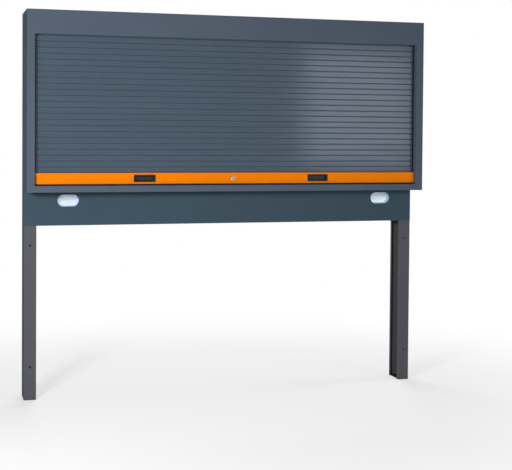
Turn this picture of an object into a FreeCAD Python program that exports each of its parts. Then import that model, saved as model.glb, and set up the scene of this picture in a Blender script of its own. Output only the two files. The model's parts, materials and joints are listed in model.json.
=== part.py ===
import FreeCAD
import Part
import Sketcher
import math
import os
import re

# Roll front tool cabinet on two rear uprights.
#
# Axes: +X to the right seen from the front, +Y to the rear, +Z up, millimetres.
# Origin: the middle of the four bolt holes that fasten the uprights to the back of a bench,
# on the plane of the uprights' front faces. The cabinet hangs in front of that plane, and
# its slatted shutter runs in a guide channel at each side and winds on a roller in the header.

# Driving sizes: (name, millimetres or count, meaning).
SIZES = [
    ("width", 1700, "cabinet and upright pair, outside"),
    ("cabinet_height", 728, "underside to top"),
    ("cabinet_depth", 130, "front face to the uprights"),
    ("bench_level", 400, "bench top above the centre of the bench bolts"),
    ("cabinet_gap", 72, "bench top to the cabinet's underside"),
    ("sheet_wall", 1.5, "folded sheet of the cabinet"),
    ("bend_radius", 1.5, "inside radius of every fold"),
    ("stile_width", 32, "front face of the frame at each side of the opening"),
    ("header_height", 97, "front face above the opening"),
    ("sill_height", 27, "front face below the opening"),
    ("back_flange", 20, "flange of a side panel against its upright"),
    ("panel_return", 15, "folded edges of the flat panels"),
    ("header_wrap", 15, "ends of the header cover, folded round the cabinet's sides"),
    ("lip_gap", 4, "header lip to the front of the slats"),
    ("sill_ledge", 40, "depth of the ledge that the shutter closes on"),
    ("upright_width", 50, "upright, seen from the front"),
    ("upright_depth", 105, "upright, front to rear"),
    ("upright_wall", 2, "upright, sheet"),
    ("upright_lip", 15, "lips along the open side of an upright"),
    ("upright_drop", 785, "lower end of the uprights below the bench top"),
    ("cap_wall", 3, "end caps of the uprights"),
    ("bench_bolt_rise", 500, "upper to lower bench bolt"),
    ("bench_bolt_hole", 9, "bench bolt hole, diameter"),
    ("rail_height", 40, "cross rails, height"),
    ("rail_depth", 30, "cross rails, depth"),
    ("rail_wall", 2, "cross rails, wall"),
    ("upper_rail_drop", 90, "upper cross rail below the top"),
    ("lower_rail_rise", 75, "lower cross rail above the bench top"),
    ("rear_panel_inset", 1, "rear panel short of the uprights' outer face"),
    ("rear_panel_drop", 70, "rear panel below the bench top"),
    ("port_width", 88, "cable port, width"),
    ("port_height", 49, "cable port, height"),
    ("port_rise", 32, "centre of a cable port above the bench top"),
    ("left_port_inset", 178.5, "centre of the left cable port from the cabinet's end"),
    ("right_port_inset", 146.5, "centre of the right cable port from the cabinet's end"),
    ("port_cup_depth", 24, "depth of the moulded cup behind a port"),
    ("port_cup_wall", 2, "wall of that cup"),
    ("port_cup_rim", 6, "rim of that cup behind the panel"),
    ("tool_hole", 10, "square holes of the tool panel"),
    ("tool_pitch", 76, "pitch of those holes"),
    ("tool_margin", 54, "edge of the tool panel to the first holes"),
    ("screw_head_radius", 5, "cabinet screws, head"),
    ("screw_head_height", 4, "cabinet screws, head"),
    ("screw_radius", 3, "cabinet screws, shank"),
    ("screw_play", 0.3, "cabinet screws, radial clearance in their holes"),
    ("screw_length", 12, "cabinet screws under the head"),
    ("screw_count", 4, "cabinet screws at each side"),
    ("screw_margin", 60, "first and last cabinet screw from the panel's edges"),
    ("slat_pitch", 24, "slat to slat"),
    ("slat_thickness", 8, "slat, front to back"),
    ("slat_setback", 32, "slats behind the cabinet's front face"),
    ("slat_skin", 1, "wall of the hollow slats"),
    ("slat_groove", 3, "visible groove between slats"),
    ("slat_crown", 0.5, "set-back of the slat's upper and lower edges"),
    ("slat_crown_rise", 1.4, "height over which those edges set back"),
    ("hook_neck", 1.2, "neck of a slat's hook"),
    ("hook_head", 2.8, "head of a slat's hook"),
    ("hook_head_rise", 1.2, "height of that head"),
    ("hook_play", 0.4, "clearance beside the hook in its socket"),
    ("hook_lift", 0.3, "clearance under the head of the hook"),
    ("guide_play", 1, "slats to the guide channel, each side"),
    ("guide_wall", 2, "guide channel, wall"),
    ("guide_lip", 5, "guide channel's front leg past the stile"),
    ("slat_end_gap", 5, "slat end to the web of the guide channel"),
    ("brush_width", 6, "brush strip"),
    ("brush_thickness", 0.7, "brush strip"),
    ("bar_height", 44.6, "bottom bar"),
    ("bar_depth", 18, "bottom bar"),
    ("bar_wall", 1.8, "bottom bar, wall"),
    ("bar_end_gap", 1, "bottom bar's end to the stile"),
    ("bar_guide_gap", 2, "back of the bottom bar to the edge of the guide channel"),
    ("bar_guide_play", 1, "ends of the bottom bar in front of the guide channel"),
    ("bar_edge", 1, "rounding of the bottom bar"),
    ("seal_height", 5.5, "rubber seal under the bottom bar"),
    ("seal_width", 10, "rubber seal under the bottom bar"),
    ("shoe_plate", 2, "end plate of a guide shoe"),
    ("shoe_tongue", 23, "tongue of a guide shoe in the channel"),
    ("handle_place", 373.5, "handle cup from the middle"),
    ("handle_width", 91, "flange of a handle cup"),
    ("handle_height", 31, "flange of a handle cup"),
    ("handle_flange", 1.2, "flange of a handle cup, proud of the bar"),
    ("handle_corner", 3, "corner radius of that flange"),
    ("handle_rim", 4, "flange past the cup behind it"),
    ("handle_wall", 1.6, "wall of a handle cup"),
    ("handle_cup_depth", 13.5, "depth of a handle cup behind the bar's face"),
    ("handle_play", 0.3, "handle cup in the bar"),
    ("lock_face_radius", 9.2, "lock rosette"),
    ("lock_face_rise", 1.2, "lock rosette, proud of the bar"),
    ("lock_case_radius", 8, "lock housing in the bar"),
    ("lock_plug_radius", 5.5, "turning plug of the lock"),
    ("lock_plug_rise", 0.5, "plug proud of the rosette"),
    ("lock_play", 0.05, "plug in its housing, radial"),
    ("lock_depth", 9, "lock housing behind the bar's face"),
    ("key_slot_width", 1.2, "key slot"),
    ("key_slot_length", 7, "key slot"),
    ("key_slot_depth", 4, "key slot"),
    ("cam_radius", 11, "lock cam"),
    ("cam_wall", 2, "lock cam"),
    ("cam_pin_radius", 1.5, "pins of the lock cam"),
    ("cam_pin_length", 2.6, "pins of the lock cam"),
    ("bolt_throw", 10, "travel of each lock rod"),
    ("rod_height", 3.4, "lock rods"),
    ("rod_depth", 4, "lock rods"),
    ("rod_tab_width", 12, "tab of a lock rod around its cam pin"),
    ("rod_tab_wall", 2, "that tab"),
    ("rod_play", 0.3, "lock rods in the bar and the shoes"),
    ("pin_play", 0.6, "cam pin in the rod's slot, each side"),
    ("keeper_gap", 1, "guide shoe to its lock keeper"),
    ("keeper_play", 0.5, "lock rod in its keeper, each side"),
    ("stop_length", 12, "rubber stops under the header lip"),
    ("stop_height", 3, "rubber stops under the header lip"),
    ("stop_inset", 8, "rubber stops from the stile"),
    ("roller_radius", 20, "roller tube"),
    ("roller_wall", 1.5, "roller tube"),
    ("roller_end_gap", 28.5, "roller tube's end to the side panel"),
    ("axle_radius", 6, "fixed axle"),
    ("axle_play", 0.05, "bearing bore on the axle, radial"),
    ("bearing_length", 20, "bearing plug in the tube"),
    ("bearing_flange", 3, "flange of a bearing plug"),
    ("bracket_wall", 3, "roller brackets"),
    ("bracket_width", 70, "roller brackets, front to rear"),
    ("bracket_height", 84, "roller brackets"),
    ("hub_radius", 12, "hub of a roller bracket"),
    ("hub_gap", 1, "hub to the bearing flange"),
    ("spring_radius", 15, "spring cartridge on the axle"),
    ("spring_length", 320, "spring cartridge"),
    ("strap_count", 3, "hanger straps"),
    ("strap_width", 40, "hanger straps"),
    ("strap_wall", 1, "hanger straps"),
    ("strap_inset", 180, "outer straps from the roller's ends"),
    ("strap_wrap", 200, "wrap of the straps round the roller, degrees"),
    ("strap_gap", 0.3, "straps to the roller tube"),
]

# Places worked out from the driving sizes, written once and used by every piece.
PLACES = {
    "half": "width / 2",
    "front": "-cabinet_depth",
    "underside": "bench_level + cabinet_gap",
    "top": "underside + cabinet_height",
    "header_edge": "top - header_height",
    "sill_edge": "underside + sill_height",
    "inner_half": "half - sheet_wall",
    "panel_half": "inner_half - bend_radius",
    "opening_half": "half - stile_width",
    "fold_reach": "sheet_wall + bend_radius",
    "slat_front": "front + slat_setback",
    "slat_back": "slat_front + slat_thickness",
    "guide_inside_front": "slat_front - guide_play",
    "guide_inside_back": "slat_back + guide_play",
    "guide_front": "guide_inside_front - guide_wall",
    "guide_back": "guide_inside_back + guide_wall",
    "guide_web": "inner_half - guide_wall",
    "slat_half": "guide_web - slat_end_gap",
    "bar_bottom": "sill_edge + seal_height",
    "bar_top": "bar_bottom + bar_height",
    "bar_middle": "bar_bottom + bar_height / 2",
    "slat_count": "ceil((header_edge - bar_top) / slat_pitch)",
    "bar_front": "slat_back - bar_depth",
    "bar_half": "opening_half - bar_end_gap",
    "bar_notch": "guide_front - bar_guide_play",
    "bar_back_half": "opening_half - guide_lip - bar_guide_gap",
    "bar_cut_half": "bar_back_half - shoe_plate",
    "shoe_half": "bar_back_half + shoe_tongue",
    "rod_top": "bar_height / 2 - bar_wall - rod_play",
    "rod_front": "(slat_front + slat_back) / 2 - rod_depth / 2",
    "cam_front": "bar_front + lock_depth",
    "cam_back": "cam_front + cam_wall",
    "hook_front": "slat_front + slat_thickness / 2 - hook_head / 2",
    "axle_level": "(header_edge + sheet_wall + top - sheet_wall) / 2",
    "strap_inner_radius": "roller_radius + strap_gap",
    "axle_depth": "hook_front + strap_inner_radius",
    "bracket_face": "inner_half - bracket_wall",
    "tube_half": "inner_half - roller_end_gap",
    "upright_foot": "bench_level - upright_drop",
    "flange_middle": "half - upright_width / 2",
    "screw_place": "half - back_flange / 2",
    "tool_face": "-2 * sheet_wall",
}

NAMES = [name for name, value, meaning in SIZES]
WORD = re.compile(r"[a-z][a-z_]*")


def bound(expression):
    """An expression in the names above, written in terms of the cells of the size sheet."""
    def cell(match):
        word = match.group()
        if word in NAMES:
            return "Sizes." + word
        if word in PLACES:
            return "(" + WORD.sub(cell, PLACES[word]) + ")"
        return word
    return WORD.sub(cell, str(expression))


document = FreeCAD.newDocument("roll_front_tool_cabinet")
sheet = document.addObject("Spreadsheet::Sheet", "Sizes")
for row, (name, value, meaning) in enumerate(SIZES, start=1):
    sheet.set(f"A{row}", meaning)
    sheet.set(f"B{row}", str(value))
    sheet.setAlias(f"B{row}", name)
document.recompute()

PARTS = []


def number(expression):
    """The present value of an expression in the names above."""
    return float(sheet.evalExpression(bound(expression)))


def keep(label, shape_object):
    """Registers a finished sub-part under the name of its node."""
    shape_object.Label = label
    PARTS.append(shape_object)
    return shape_object


def bind(owner, **settings):
    """Binds properties of an object to expressions. x, y and z stand for its place."""
    for name, expression in settings.items():
        if name in ("x", "y", "z"):
            name = "Placement.Base." + name
        owner.setExpression(name, bound(expression))
    return owner


def box(name, x, y, z, length, width, height):
    """A block with its lowest corner at x, y, z."""
    block = document.addObject("Part::Box", name)
    return bind(block, x=x, y=y, z=z, Length=length, Width=width, Height=height)


# Turns that lay a cylinder's axis along X and along Y.
ALONG_X = FreeCAD.Rotation(FreeCAD.Vector(0, 1, 0), 90)
ALONG_Y = FreeCAD.Rotation(FreeCAD.Vector(1, 0, 0), -90)


def cylinder(name, turn, x, y, z, radius, length):
    """A cylinder that starts at x, y, z and runs along +X or +Y as the turn says."""
    rod = document.addObject("Part::Cylinder", name)
    rod.Placement = FreeCAD.Placement(FreeCAD.Vector(0, 0, 0), turn)
    return bind(rod, x=x, y=y, z=z, Radius=radius, Height=length)


def fuse(name, pieces):
    """Joins pieces that touch or overlap into one solid."""
    joined = document.addObject("Part::MultiFuse", name)
    joined.Shapes = pieces
    joined.Refine = True
    return joined


def cut(name, base, tools):
    """Takes the tools away from the base."""
    tool = tools[0]
    if len(tools) > 1:
        tool = group(name + "_tools", tools)
    result = document.addObject("Part::Cut", name)
    result.Base = base
    result.Tool = tool
    return result


def group(name, pieces):
    """Holds separate solids together in one node."""
    bundle = document.addObject("Part::Compound", name)
    bundle.Links = pieces
    return bundle


def origin_plane(body, role):
    """The body's own origin plane with that role."""
    return [feature for feature in body.Origin.OriginFeatures if feature.Role == role][0]


def outline_sketch(body, name, role, loops, offset="0"):
    """A sketch of closed straight-sided loops whose corners are bound to the size sheet."""
    sketch = body.newObject("Sketcher::SketchObject", name)
    sketch.AttachmentSupport = (origin_plane(body, role), [""])
    sketch.MapMode = "FlatFace"
    sketch.setExpression("AttachmentOffset.Base.z", bound(offset))
    for loop in loops:
        first = sketch.GeometryCount
        corners = [FreeCAD.Vector(number(across), number(along), 0) for across, along in loop]
        for index, corner in enumerate(corners):
            following = corners[(index + 1) % len(corners)]
            sketch.addGeometry(Part.LineSegment(corner, following))
        for index, (across, along) in enumerate(loop):
            line = first + index
            next_line = first + (index + 1) % len(loop)
            sketch.addConstraint(Sketcher.Constraint("Coincident", line, 2, next_line, 1))
            for kind, place in (("DistanceX", across), ("DistanceY", along)):
                at = sketch.addConstraint(
                    Sketcher.Constraint(kind, -1, 1, line, 1, number(place)))
                sketch.setExpression(f"Constraints[{at}]", bound(place))
    return sketch


def extrusion(label, role, loops, start, length):
    """A body that carries straight-sided loops along the normal of one of its planes.

    The normals are +Z for XY_Plane, -Y for XZ_Plane and +X for YZ_Plane.
    """
    body = document.addObject("PartDesign::Body", label)
    sketch = outline_sketch(body, label + "_outline", role, loops, start)
    pad = body.newObject("PartDesign::Pad", label + "_pad")
    pad.Profile = sketch
    pad.setExpression("Length", bound(length))
    return body


def round_edges(body, name, radius, wanted):
    """Rounds the straight edges of the body's tip that the test picks."""
    document.recompute()
    tip = body.Tip
    edges = [f"Edge{place}" for place, edge in enumerate(tip.Shape.Edges, start=1)
             if wanted(edge)]
    fillet = body.newObject("PartDesign::Fillet", name)
    fillet.Base = (tip, edges)
    fillet.setExpression("Radius", bound(radius))
    return fillet


HEADINGS = {"E": (1, 0), "N": (0, 1), "W": (-1, 0), "S": (0, -1)}


def folded_outline(start, moves, wall, side):
    """The closed outline of a sheet whose one face follows square turns from a start point.

    Each move is a heading, E, N, W or S in the sketch, and a length. side is +1 where the
    sheet's thickness lies to the left of the way and -1 where it lies to the right. The
    result is the loop, then the corner points on the outside and on the inside of the folds.
    """
    face = [start]
    for heading, length in moves:
        across, along = face[-1]
        step_across, step_along = HEADINGS[heading]
        face.append((f"{across} + ({step_across}) * ({length})",
                     f"{along} + ({step_along}) * ({length})"))
    ways = [HEADINGS[heading] for heading, length in moves]
    other_face = []
    for index, (across, along) in enumerate(face):
        shifts = {(-way[1] * side, way[0] * side)
                  for way in ways[max(index - 1, 0):index + 1]}
        shift_across = sum(shift[0] for shift in shifts)
        shift_along = sum(shift[1] for shift in shifts)
        other_face.append((f"{across} + ({shift_across}) * {wall}",
                           f"{along} + ({shift_along}) * {wall}"))
    outside = []
    inside = []
    for index in range(1, len(face) - 1):
        before = ways[index - 1]
        after = ways[index]
        turn = before[0] * after[1] - before[1] * after[0]
        folds_over_wall = turn * side > 0
        outside.append(face[index] if folds_over_wall else other_face[index])
        inside.append(other_face[index] if folds_over_wall else face[index])
    return face + other_face[::-1], outside, inside


def lies_at(edge, role, points):
    """Whether a straight edge stands on one of the sketch points, square to the sketch."""
    if len(edge.Vertexes) != 2:
        return False
    axes = {"XY_Plane": (0, 1), "XZ_Plane": (0, 2), "YZ_Plane": (1, 2)}[role]
    for across, along in points:
        gaps = [abs(vertex.Point[axis] - value)
                for vertex in edge.Vertexes
                for axis, value in zip(axes, (across, along))]
        if max(gaps) < 0.001:
            return True
    return False


def folded_sheet(label, role, start, moves, wall, side, begin, length, extra=None):
    """A folded sheet with round folds. extra adds a second straight-sided loop to it."""
    loop, outside, inside = folded_outline(start, moves, wall, side)
    body = extrusion(label, role, [loop], begin, length)
    if extra is not None:
        loops, extra_begin, extra_length = extra
        sketch = outline_sketch(body, label + "_plate_outline", role, loops, extra_begin)
        pad = body.newObject("PartDesign::Pad", label + "_plate")
        pad.Profile = sketch
        pad.setExpression("Length", bound(extra_length))
    for name, radius, corners in (("outer_folds", f"bend_radius + {wall}", outside),
                                  ("inner_folds", "bend_radius", inside)):
        points = [(number(across), number(along)) for across, along in corners]
        round_edges(body, f"{label}_{name}", radius,
                    lambda edge: lies_at(edge, role, points))
    return body


def rectangle(left, right, bottom, top):
    """The four corners of an upright rectangle."""
    return [(left, bottom), (right, bottom), (right, top), (left, top)]


def mirrored_pair(make):
    """Calls make for the left side and the right side, with the side's sign."""
    make("left", -1)
    make("right", 1)


def screw_levels():
    """Heights of the cabinet screws, evenly spaced between the margins."""
    last = int(number("screw_count")) - 1
    span = "cabinet_height - 2 * screw_margin"
    return [f"underside + screw_margin + ({span}) * {step} / {last}"
            for step in range(last + 1)]


def screw_holes(name, sign, start, depth):
    """Cutting rods for the row of cabinet screws at one side."""
    return [cylinder(f"{name}_screw_hole_{step}", ALONG_Y, f"{sign} * screw_place", start,
                     level, "screw_radius + screw_play", depth)
            for step, level in enumerate(screw_levels(), start=1)]


def uprights():
    """Lipped channels, open towards each other, with bench bolt and cabinet screw holes."""
    def upright(side, sign):
        inward = "E" if sign < 0 else "W"
        outward = "W" if sign < 0 else "E"
        channel = folded_sheet(
            f"upright_{side}_channel", "XY_Plane",
            (f"{sign} * (half - upright_width)", "upright_depth - upright_lip"),
            [("N", "upright_lip"), (outward, "upright_width"), ("S", "upright_depth"),
             (inward, "upright_width"), ("N", "upright_lip")],
            "upright_wall", -sign, "upright_foot", "top - upright_foot")
        bolts = [cylinder(f"upright_{side}_bench_hole_{end}", ALONG_Y,
                          f"{sign} * flange_middle", "-upright_wall",
                          f"{lift} * bench_bolt_rise / 2", "bench_bolt_hole / 2",
                          "3 * upright_wall")
                 for end, lift in (("low", -1), ("high", 1))]
        holes = screw_holes(f"upright_{side}", sign, "-upright_wall", "3 * upright_wall")
        keep(f"upright_{side}", cut(f"upright_{side}", channel, bolts + holes))
    mirrored_pair(upright)

    caps = []
    fold = "upright_wall + bend_radius"
    for side, sign in (("left", -1), ("right", 1)):
        edge = f"{fold} - half" if sign < 0 else f"half - upright_width + {fold}"
        for end, level in (("top", "top - cap_wall"), ("foot", "upright_foot")):
            caps.append(box(f"upright_{side}_{end}_cap", edge, "upright_wall", level,
                            f"upright_width - 2 * ({fold})",
                            "upright_depth - 2 * upright_wall",
                            "cap_wall"))
    keep("upright_end_caps", group("upright_end_caps", caps))


def cross_rails():
    """Two square tubes between the webs of the uprights."""
    rails = []
    for name, level in (("upper", "top - upper_rail_drop"),
                        ("lower", "bench_level + lower_rail_rise")):
        left = "upright_wall - half"
        length = "width - 2 * upright_wall"
        middle = "upright_depth / 2"
        solid = box(f"{name}_rail", left, f"{middle} - rail_depth / 2",
                    f"{level} - rail_height / 2", length, "rail_depth", "rail_height")
        bore = box(f"{name}_rail_bore", left, f"{middle} - rail_depth / 2 + rail_wall",
                   f"{level} - rail_height / 2 + rail_wall", length,
                   "rail_depth - 2 * rail_wall", "rail_height - 2 * rail_wall")
        rails.append(cut(f"{name}_rail_tube", solid, [bore]))
    keep("cross_rails", group("cross_rails", rails))


def stadium(name, x, y, z, width, height, depth):
    """A block with half-round ends that runs along +Y from its centre x, y, z."""
    middle = box(name + "_middle", f"({x}) - ({width}) / 2 + ({height}) / 2", y,
                 f"({z}) - ({height}) / 2", f"({width}) - ({height})", depth, height)
    ends = [cylinder(f"{name}_{end}", ALONG_Y, f"({x}) + {sign} * (({width}) - ({height})) / 2",
                     y, z, f"({height}) / 2", depth)
            for end, sign in (("left_end", -1), ("right_end", 1))]
    return fuse(name, [middle] + ends)


PORTS = [("left", "left_port_inset - half"), ("right", "half - right_port_inset")]
PORT_LEVEL = "bench_level + port_rise"


def rear_panel():
    """The band under the cabinet, across both uprights, with two cable ports."""
    plate = box("rear_panel_plate", "rear_panel_inset - half", "-sheet_wall",
                "bench_level - rear_panel_drop", "width - 2 * rear_panel_inset", "sheet_wall",
                "cabinet_gap + rear_panel_drop")
    returns = [box(f"rear_panel_{name}_return", "upright_width - half + sheet_wall", "-sheet_wall",
                   level, "width - 2 * upright_width - 2 * sheet_wall",
                   "panel_return + sheet_wall", "sheet_wall")
               for name, level in (("low", "bench_level - rear_panel_drop"),
                                   ("high", "underside - sheet_wall"))]
    folded = fuse("rear_panel_folded", [plate] + returns)
    ports = [stadium(f"port_{side}", place, "-2 * sheet_wall", PORT_LEVEL, "port_width",
                     "port_height", "3 * sheet_wall") for side, place in PORTS]
    keep("rear_panel", cut("rear_panel", folded, ports))


def cable_port_cups():
    """Pale moulded cups that close the cable ports from behind."""
    cups = []
    for side, place in PORTS:
        rim = stadium(f"port_cup_{side}_rim", place, "0", PORT_LEVEL,
                      "port_width + 2 * port_cup_rim", "port_height + 2 * port_cup_rim",
                      "port_cup_wall")
        shell = stadium(f"port_cup_{side}_shell", place, "0", PORT_LEVEL,
                        "port_width + 2 * port_cup_wall", "port_height + 2 * port_cup_wall",
                        "port_cup_depth")
        hollow = stadium(f"port_cup_{side}_hollow", place, "-port_cup_wall", PORT_LEVEL,
                         "port_width", "port_height", "port_cup_depth")
        outer = fuse(f"port_cup_{side}_outer", [rim, shell])
        cups.append(cut(f"port_cup_{side}", outer, [hollow]))
    keep("cable_port_cups", group("cable_port_cups", cups))


def side_panels():
    """Each side with its stile, the return of the stile and the rear flange in one sheet.

    The return runs along the opening only. At the header the whole front edge is cut back
    for the ends of the header cover, and at the sill the stile meets the sill edge to edge.
    """
    def side_panel(side, sign):
        inward = "E" if sign < 0 else "W"
        outward = "W" if sign < 0 else "E"
        panel = folded_sheet(
            f"side_panel_{side}_sheet", "XY_Plane",
            (f"{sign} * (half - back_flange)", "0"),
            [(outward, "back_flange"), ("S", "cabinet_depth"), (inward, "stile_width"),
             ("N", "guide_front - front")],
            "sheet_wall", -sign, "underside", "cabinet_height")
        holes = screw_holes(f"side_panel_{side}", sign, "-2 * sheet_wall", "3 * sheet_wall")
        return_edge = "-opening_half - fold_reach" if sign < 0 else "opening_half"
        notches = [box(f"side_panel_{side}_{end}_notch", return_edge, "front", level,
                       "fold_reach", "guide_front - front", height)
                   for end, level, height in (("sill", "underside", "sill_height"),
                                              ("header", "header_edge", "header_height"))]
        stile_edge = "-half" if sign < 0 else "opening_half"
        seat = box(f"side_panel_{side}_header_seat", stile_edge, "front", "header_edge",
                   "stile_width", "header_wrap", "header_height")
        keep(f"side_panel_{side}", cut(f"side_panel_{side}", panel, holes + notches + [seat]))
    mirrored_pair(side_panel)


def top_panel():
    """The flat lid with a downward fold behind the header."""
    keep("top_panel", folded_sheet(
        "top_panel", "YZ_Plane", ("-sheet_wall", "top"),
        [("W", "cabinet_depth - 2 * sheet_wall"), ("S", "panel_return")],
        "sheet_wall", 1, "-panel_half", "2 * panel_half"))


def bottom_panel():
    """The floor between the side panels, folded up in front into the sill and its ledge."""
    floor = rectangle("front + bend_radius + 2 * sheet_wall", "-sheet_wall - bend_radius",
                      "underside", "underside + sheet_wall")
    keep("bottom_panel", folded_sheet(
        "bottom_panel", "YZ_Plane", ("front + panel_return", "underside"),
        [("W", "panel_return"), ("N", "sill_height"), ("E", "sill_ledge"), ("S", "panel_return")],
        "sheet_wall", -1, "-opening_half - fold_reach", "2 * (opening_half + fold_reach)",
        ([floor], "-inner_half", "2 * inner_half")))


def header_cover():
    """The tall fascia in front of the roller, with its lip over the opening.

    Its ends pass over the stiles and fold round the cabinet's sides.
    """
    middle = folded_sheet(
        "header_cover_middle", "YZ_Plane", ("front", "top"),
        [("S", "header_height"), ("E", "slat_setback - lip_gap"), ("N", "panel_return")],
        "sheet_wall", 1, "-opening_half", "2 * opening_half")
    ends = [folded_sheet(
        f"header_cover_{side}_end", "XY_Plane", (f"{sign} * half", "front + header_wrap"),
        [("S", "header_wrap"), (inward, "stile_width")],
        "sheet_wall", -sign, "header_edge", "header_height")
        for side, sign, inward in (("left", -1, "E"), ("right", 1, "W"))]
    keep("header_cover", fuse("header_cover", [middle] + ends))


def tool_panel():
    """The perforated back, screwed through the side flanges into the uprights."""
    left = number("-panel_half")
    right = number("panel_half")
    low = number("underside + sheet_wall")
    high = number("top - sheet_wall")
    front = number("tool_face")
    size = number("tool_hole")
    pitch = number("tool_pitch")
    margin = number("tool_margin")

    def loop(x_from, x_to, z_from, z_to):
        """A closed wire; swapping the X ends turns it round."""
        corners = [(x_from, z_from), (x_to, z_from), (x_to, z_to), (x_from, z_to)]
        points = [FreeCAD.Vector(x, front, z) for x, z in corners + corners[:1]]
        return Part.makePolygon(points)

    def places(start, end):
        """Evenly pitched places, centred between two margins."""
        count = int((end - start - 2 * margin) // pitch) + 1
        first = (start + end - (count - 1) * pitch) / 2
        return [first + index * pitch for index in range(count)]

    holes = [loop(x + size / 2, x - size / 2, z - size / 2, z + size / 2)
             for x in places(left, right) for z in places(low, high)]
    face = Part.Face([loop(left, right, low, high)] + holes)
    plate = document.addObject("Part::Feature", "tool_panel_plate")
    plate.Shape = face.extrude(FreeCAD.Vector(0, number("sheet_wall"), 0))
    returns = [box(f"tool_panel_{name}_return", "-panel_half", "tool_face - panel_return", level,
                   "2 * panel_half", "panel_return + sheet_wall", "sheet_wall")
               for name, level in (("low", "underside + sheet_wall"),
                                   ("high", "top - 2 * sheet_wall"))]
    folded = fuse("tool_panel_folded", [plate] + returns)
    screws = [hole for side, sign in (("left", -1), ("right", 1))
              for hole in screw_holes(f"tool_panel_{side}", sign, "tool_face - sheet_wall",
                                      "3 * sheet_wall")]
    keep("tool_panel", cut("tool_panel", folded, screws))


def cabinet_screws():
    """Screws from inside the cabinet into the uprights, one row at each side."""
    screws = []
    for side, sign in (("left", -1), ("right", 1)):
        for step, level in enumerate(screw_levels(), start=1):
            head = cylinder(f"screw_{side}_{step}_head", ALONG_Y, f"{sign} * screw_place",
                            "tool_face - screw_head_height", level, "screw_head_radius",
                            "screw_head_height")
            shank = cylinder(f"screw_{side}_{step}_shank", ALONG_Y, f"{sign} * screw_place",
                             "tool_face", level, "screw_radius", "screw_length")
            screws.append(fuse(f"screw_{side}_{step}", [head, shank]))
    keep("cabinet_screws", group("cabinet_screws", screws))


def guides():
    """The channels that hold the ends of the slats, and a brush strip in each."""
    def channel(side, sign):
        leg = "inner_half - opening_half + guide_lip"
        inward = "E" if sign < 0 else "W"
        outward = "W" if sign < 0 else "E"
        keep(f"guide_channel_{side}", folded_sheet(
            f"guide_channel_{side}", "XY_Plane",
            (f"{sign} * (opening_half - guide_lip)", "guide_back"),
            [(outward, leg), ("S", "guide_back - guide_front"), (inward, leg)],
            "guide_wall", -sign, "sill_edge", "header_edge - sill_edge"))
    mirrored_pair(channel)

    strips = []
    for side, sign in (("left", -1), ("right", 1)):
        inner = "opening_half - guide_lip"
        edge = f"-({inner}) - brush_width" if sign < 0 else inner
        strips.append(box(f"guide_brush_{side}", edge, "guide_inside_front", "sill_edge",
                          "brush_width", "brush_thickness", "header_edge - sill_edge"))
    keep("guide_brushes", group("guide_brushes", strips))


def end_stops():
    """Rubber pads under the header lip that the bottom bar meets when it is open."""
    pads = []
    for side, sign in (("left", -1), ("right", 1)):
        outer = "opening_half - stop_inset"
        edge = f"-({outer})" if sign < 0 else f"{outer} - stop_length"
        pads.append(box(f"end_stop_{side}", edge, "slat_front - lip_gap - stop_length",
                        "header_edge - stop_height", "stop_length", "stop_length",
                        "stop_height"))
    keep("end_stops", group("end_stops", pads))


def hook_points(level):
    """The right and the left half of a hook that stands on a level, neck first."""
    middle = "slat_front + slat_thickness / 2"
    neck_top = f"{level} + slat_skin + hook_lift"
    head_top = f"{neck_top} + hook_head_rise"
    right = [(f"{middle} + hook_neck / 2", neck_top),
             (f"{middle} + hook_head / 2", neck_top),
             (f"{middle} + hook_head / 2", head_top)]
    left = [(f"{middle} - hook_head / 2", head_top),
            (f"{middle} - hook_head / 2", neck_top),
            (f"{middle} - hook_neck / 2", neck_top)]
    return right, left


def slats():
    """Hollow slats that hook into each other, each one pitch above the one below it."""
    middle = "slat_front + slat_thickness / 2"
    mouth = "hook_neck / 2 + hook_play"
    chamber = "hook_head / 2 + hook_play"
    for index in range(int(number("slat_count"))):
        base = f"bar_top + {index} * slat_pitch"
        low = f"{base} + hook_lift"
        lip = f"{base} + slat_skin"
        ceiling = f"{lip} + hook_head_rise + 2 * hook_lift"
        shoulder = f"{base} + slat_pitch + hook_lift - slat_groove"
        hook_right, hook_left = hook_points(f"{base} + slat_pitch")
        outline = [
            ("slat_front + slat_crown", low),
            (f"{middle} - ({mouth})", low),
            (f"{middle} - ({mouth})", lip),
            (f"{middle} - ({chamber})", lip),
            (f"{middle} - ({chamber})", ceiling),
            (f"{middle} + {chamber}", ceiling),
            (f"{middle} + {chamber}", lip),
            (f"{middle} + {mouth}", lip),
            (f"{middle} + {mouth}", low),
            ("slat_back", low),
            ("slat_back", shoulder),
            (f"{middle} + hook_neck / 2", shoulder),
            *hook_right,
            *hook_left,
            (f"{middle} - hook_neck / 2", shoulder),
            ("slat_front + slat_crown", shoulder),
            ("slat_front", f"{shoulder} - slat_crown_rise"),
            ("slat_front", f"{low} + slat_crown_rise"),
        ]
        cavity = rectangle("slat_front + slat_skin", "slat_back - slat_skin",
                           f"{ceiling} + slat_skin", f"{shoulder} - slat_skin")
        name = f"slat_{index + 1:02d}"
        keep(name, extrusion(name, "YZ_Plane", [outline, cavity], "-slat_half",
                             "2 * slat_half"))


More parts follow.
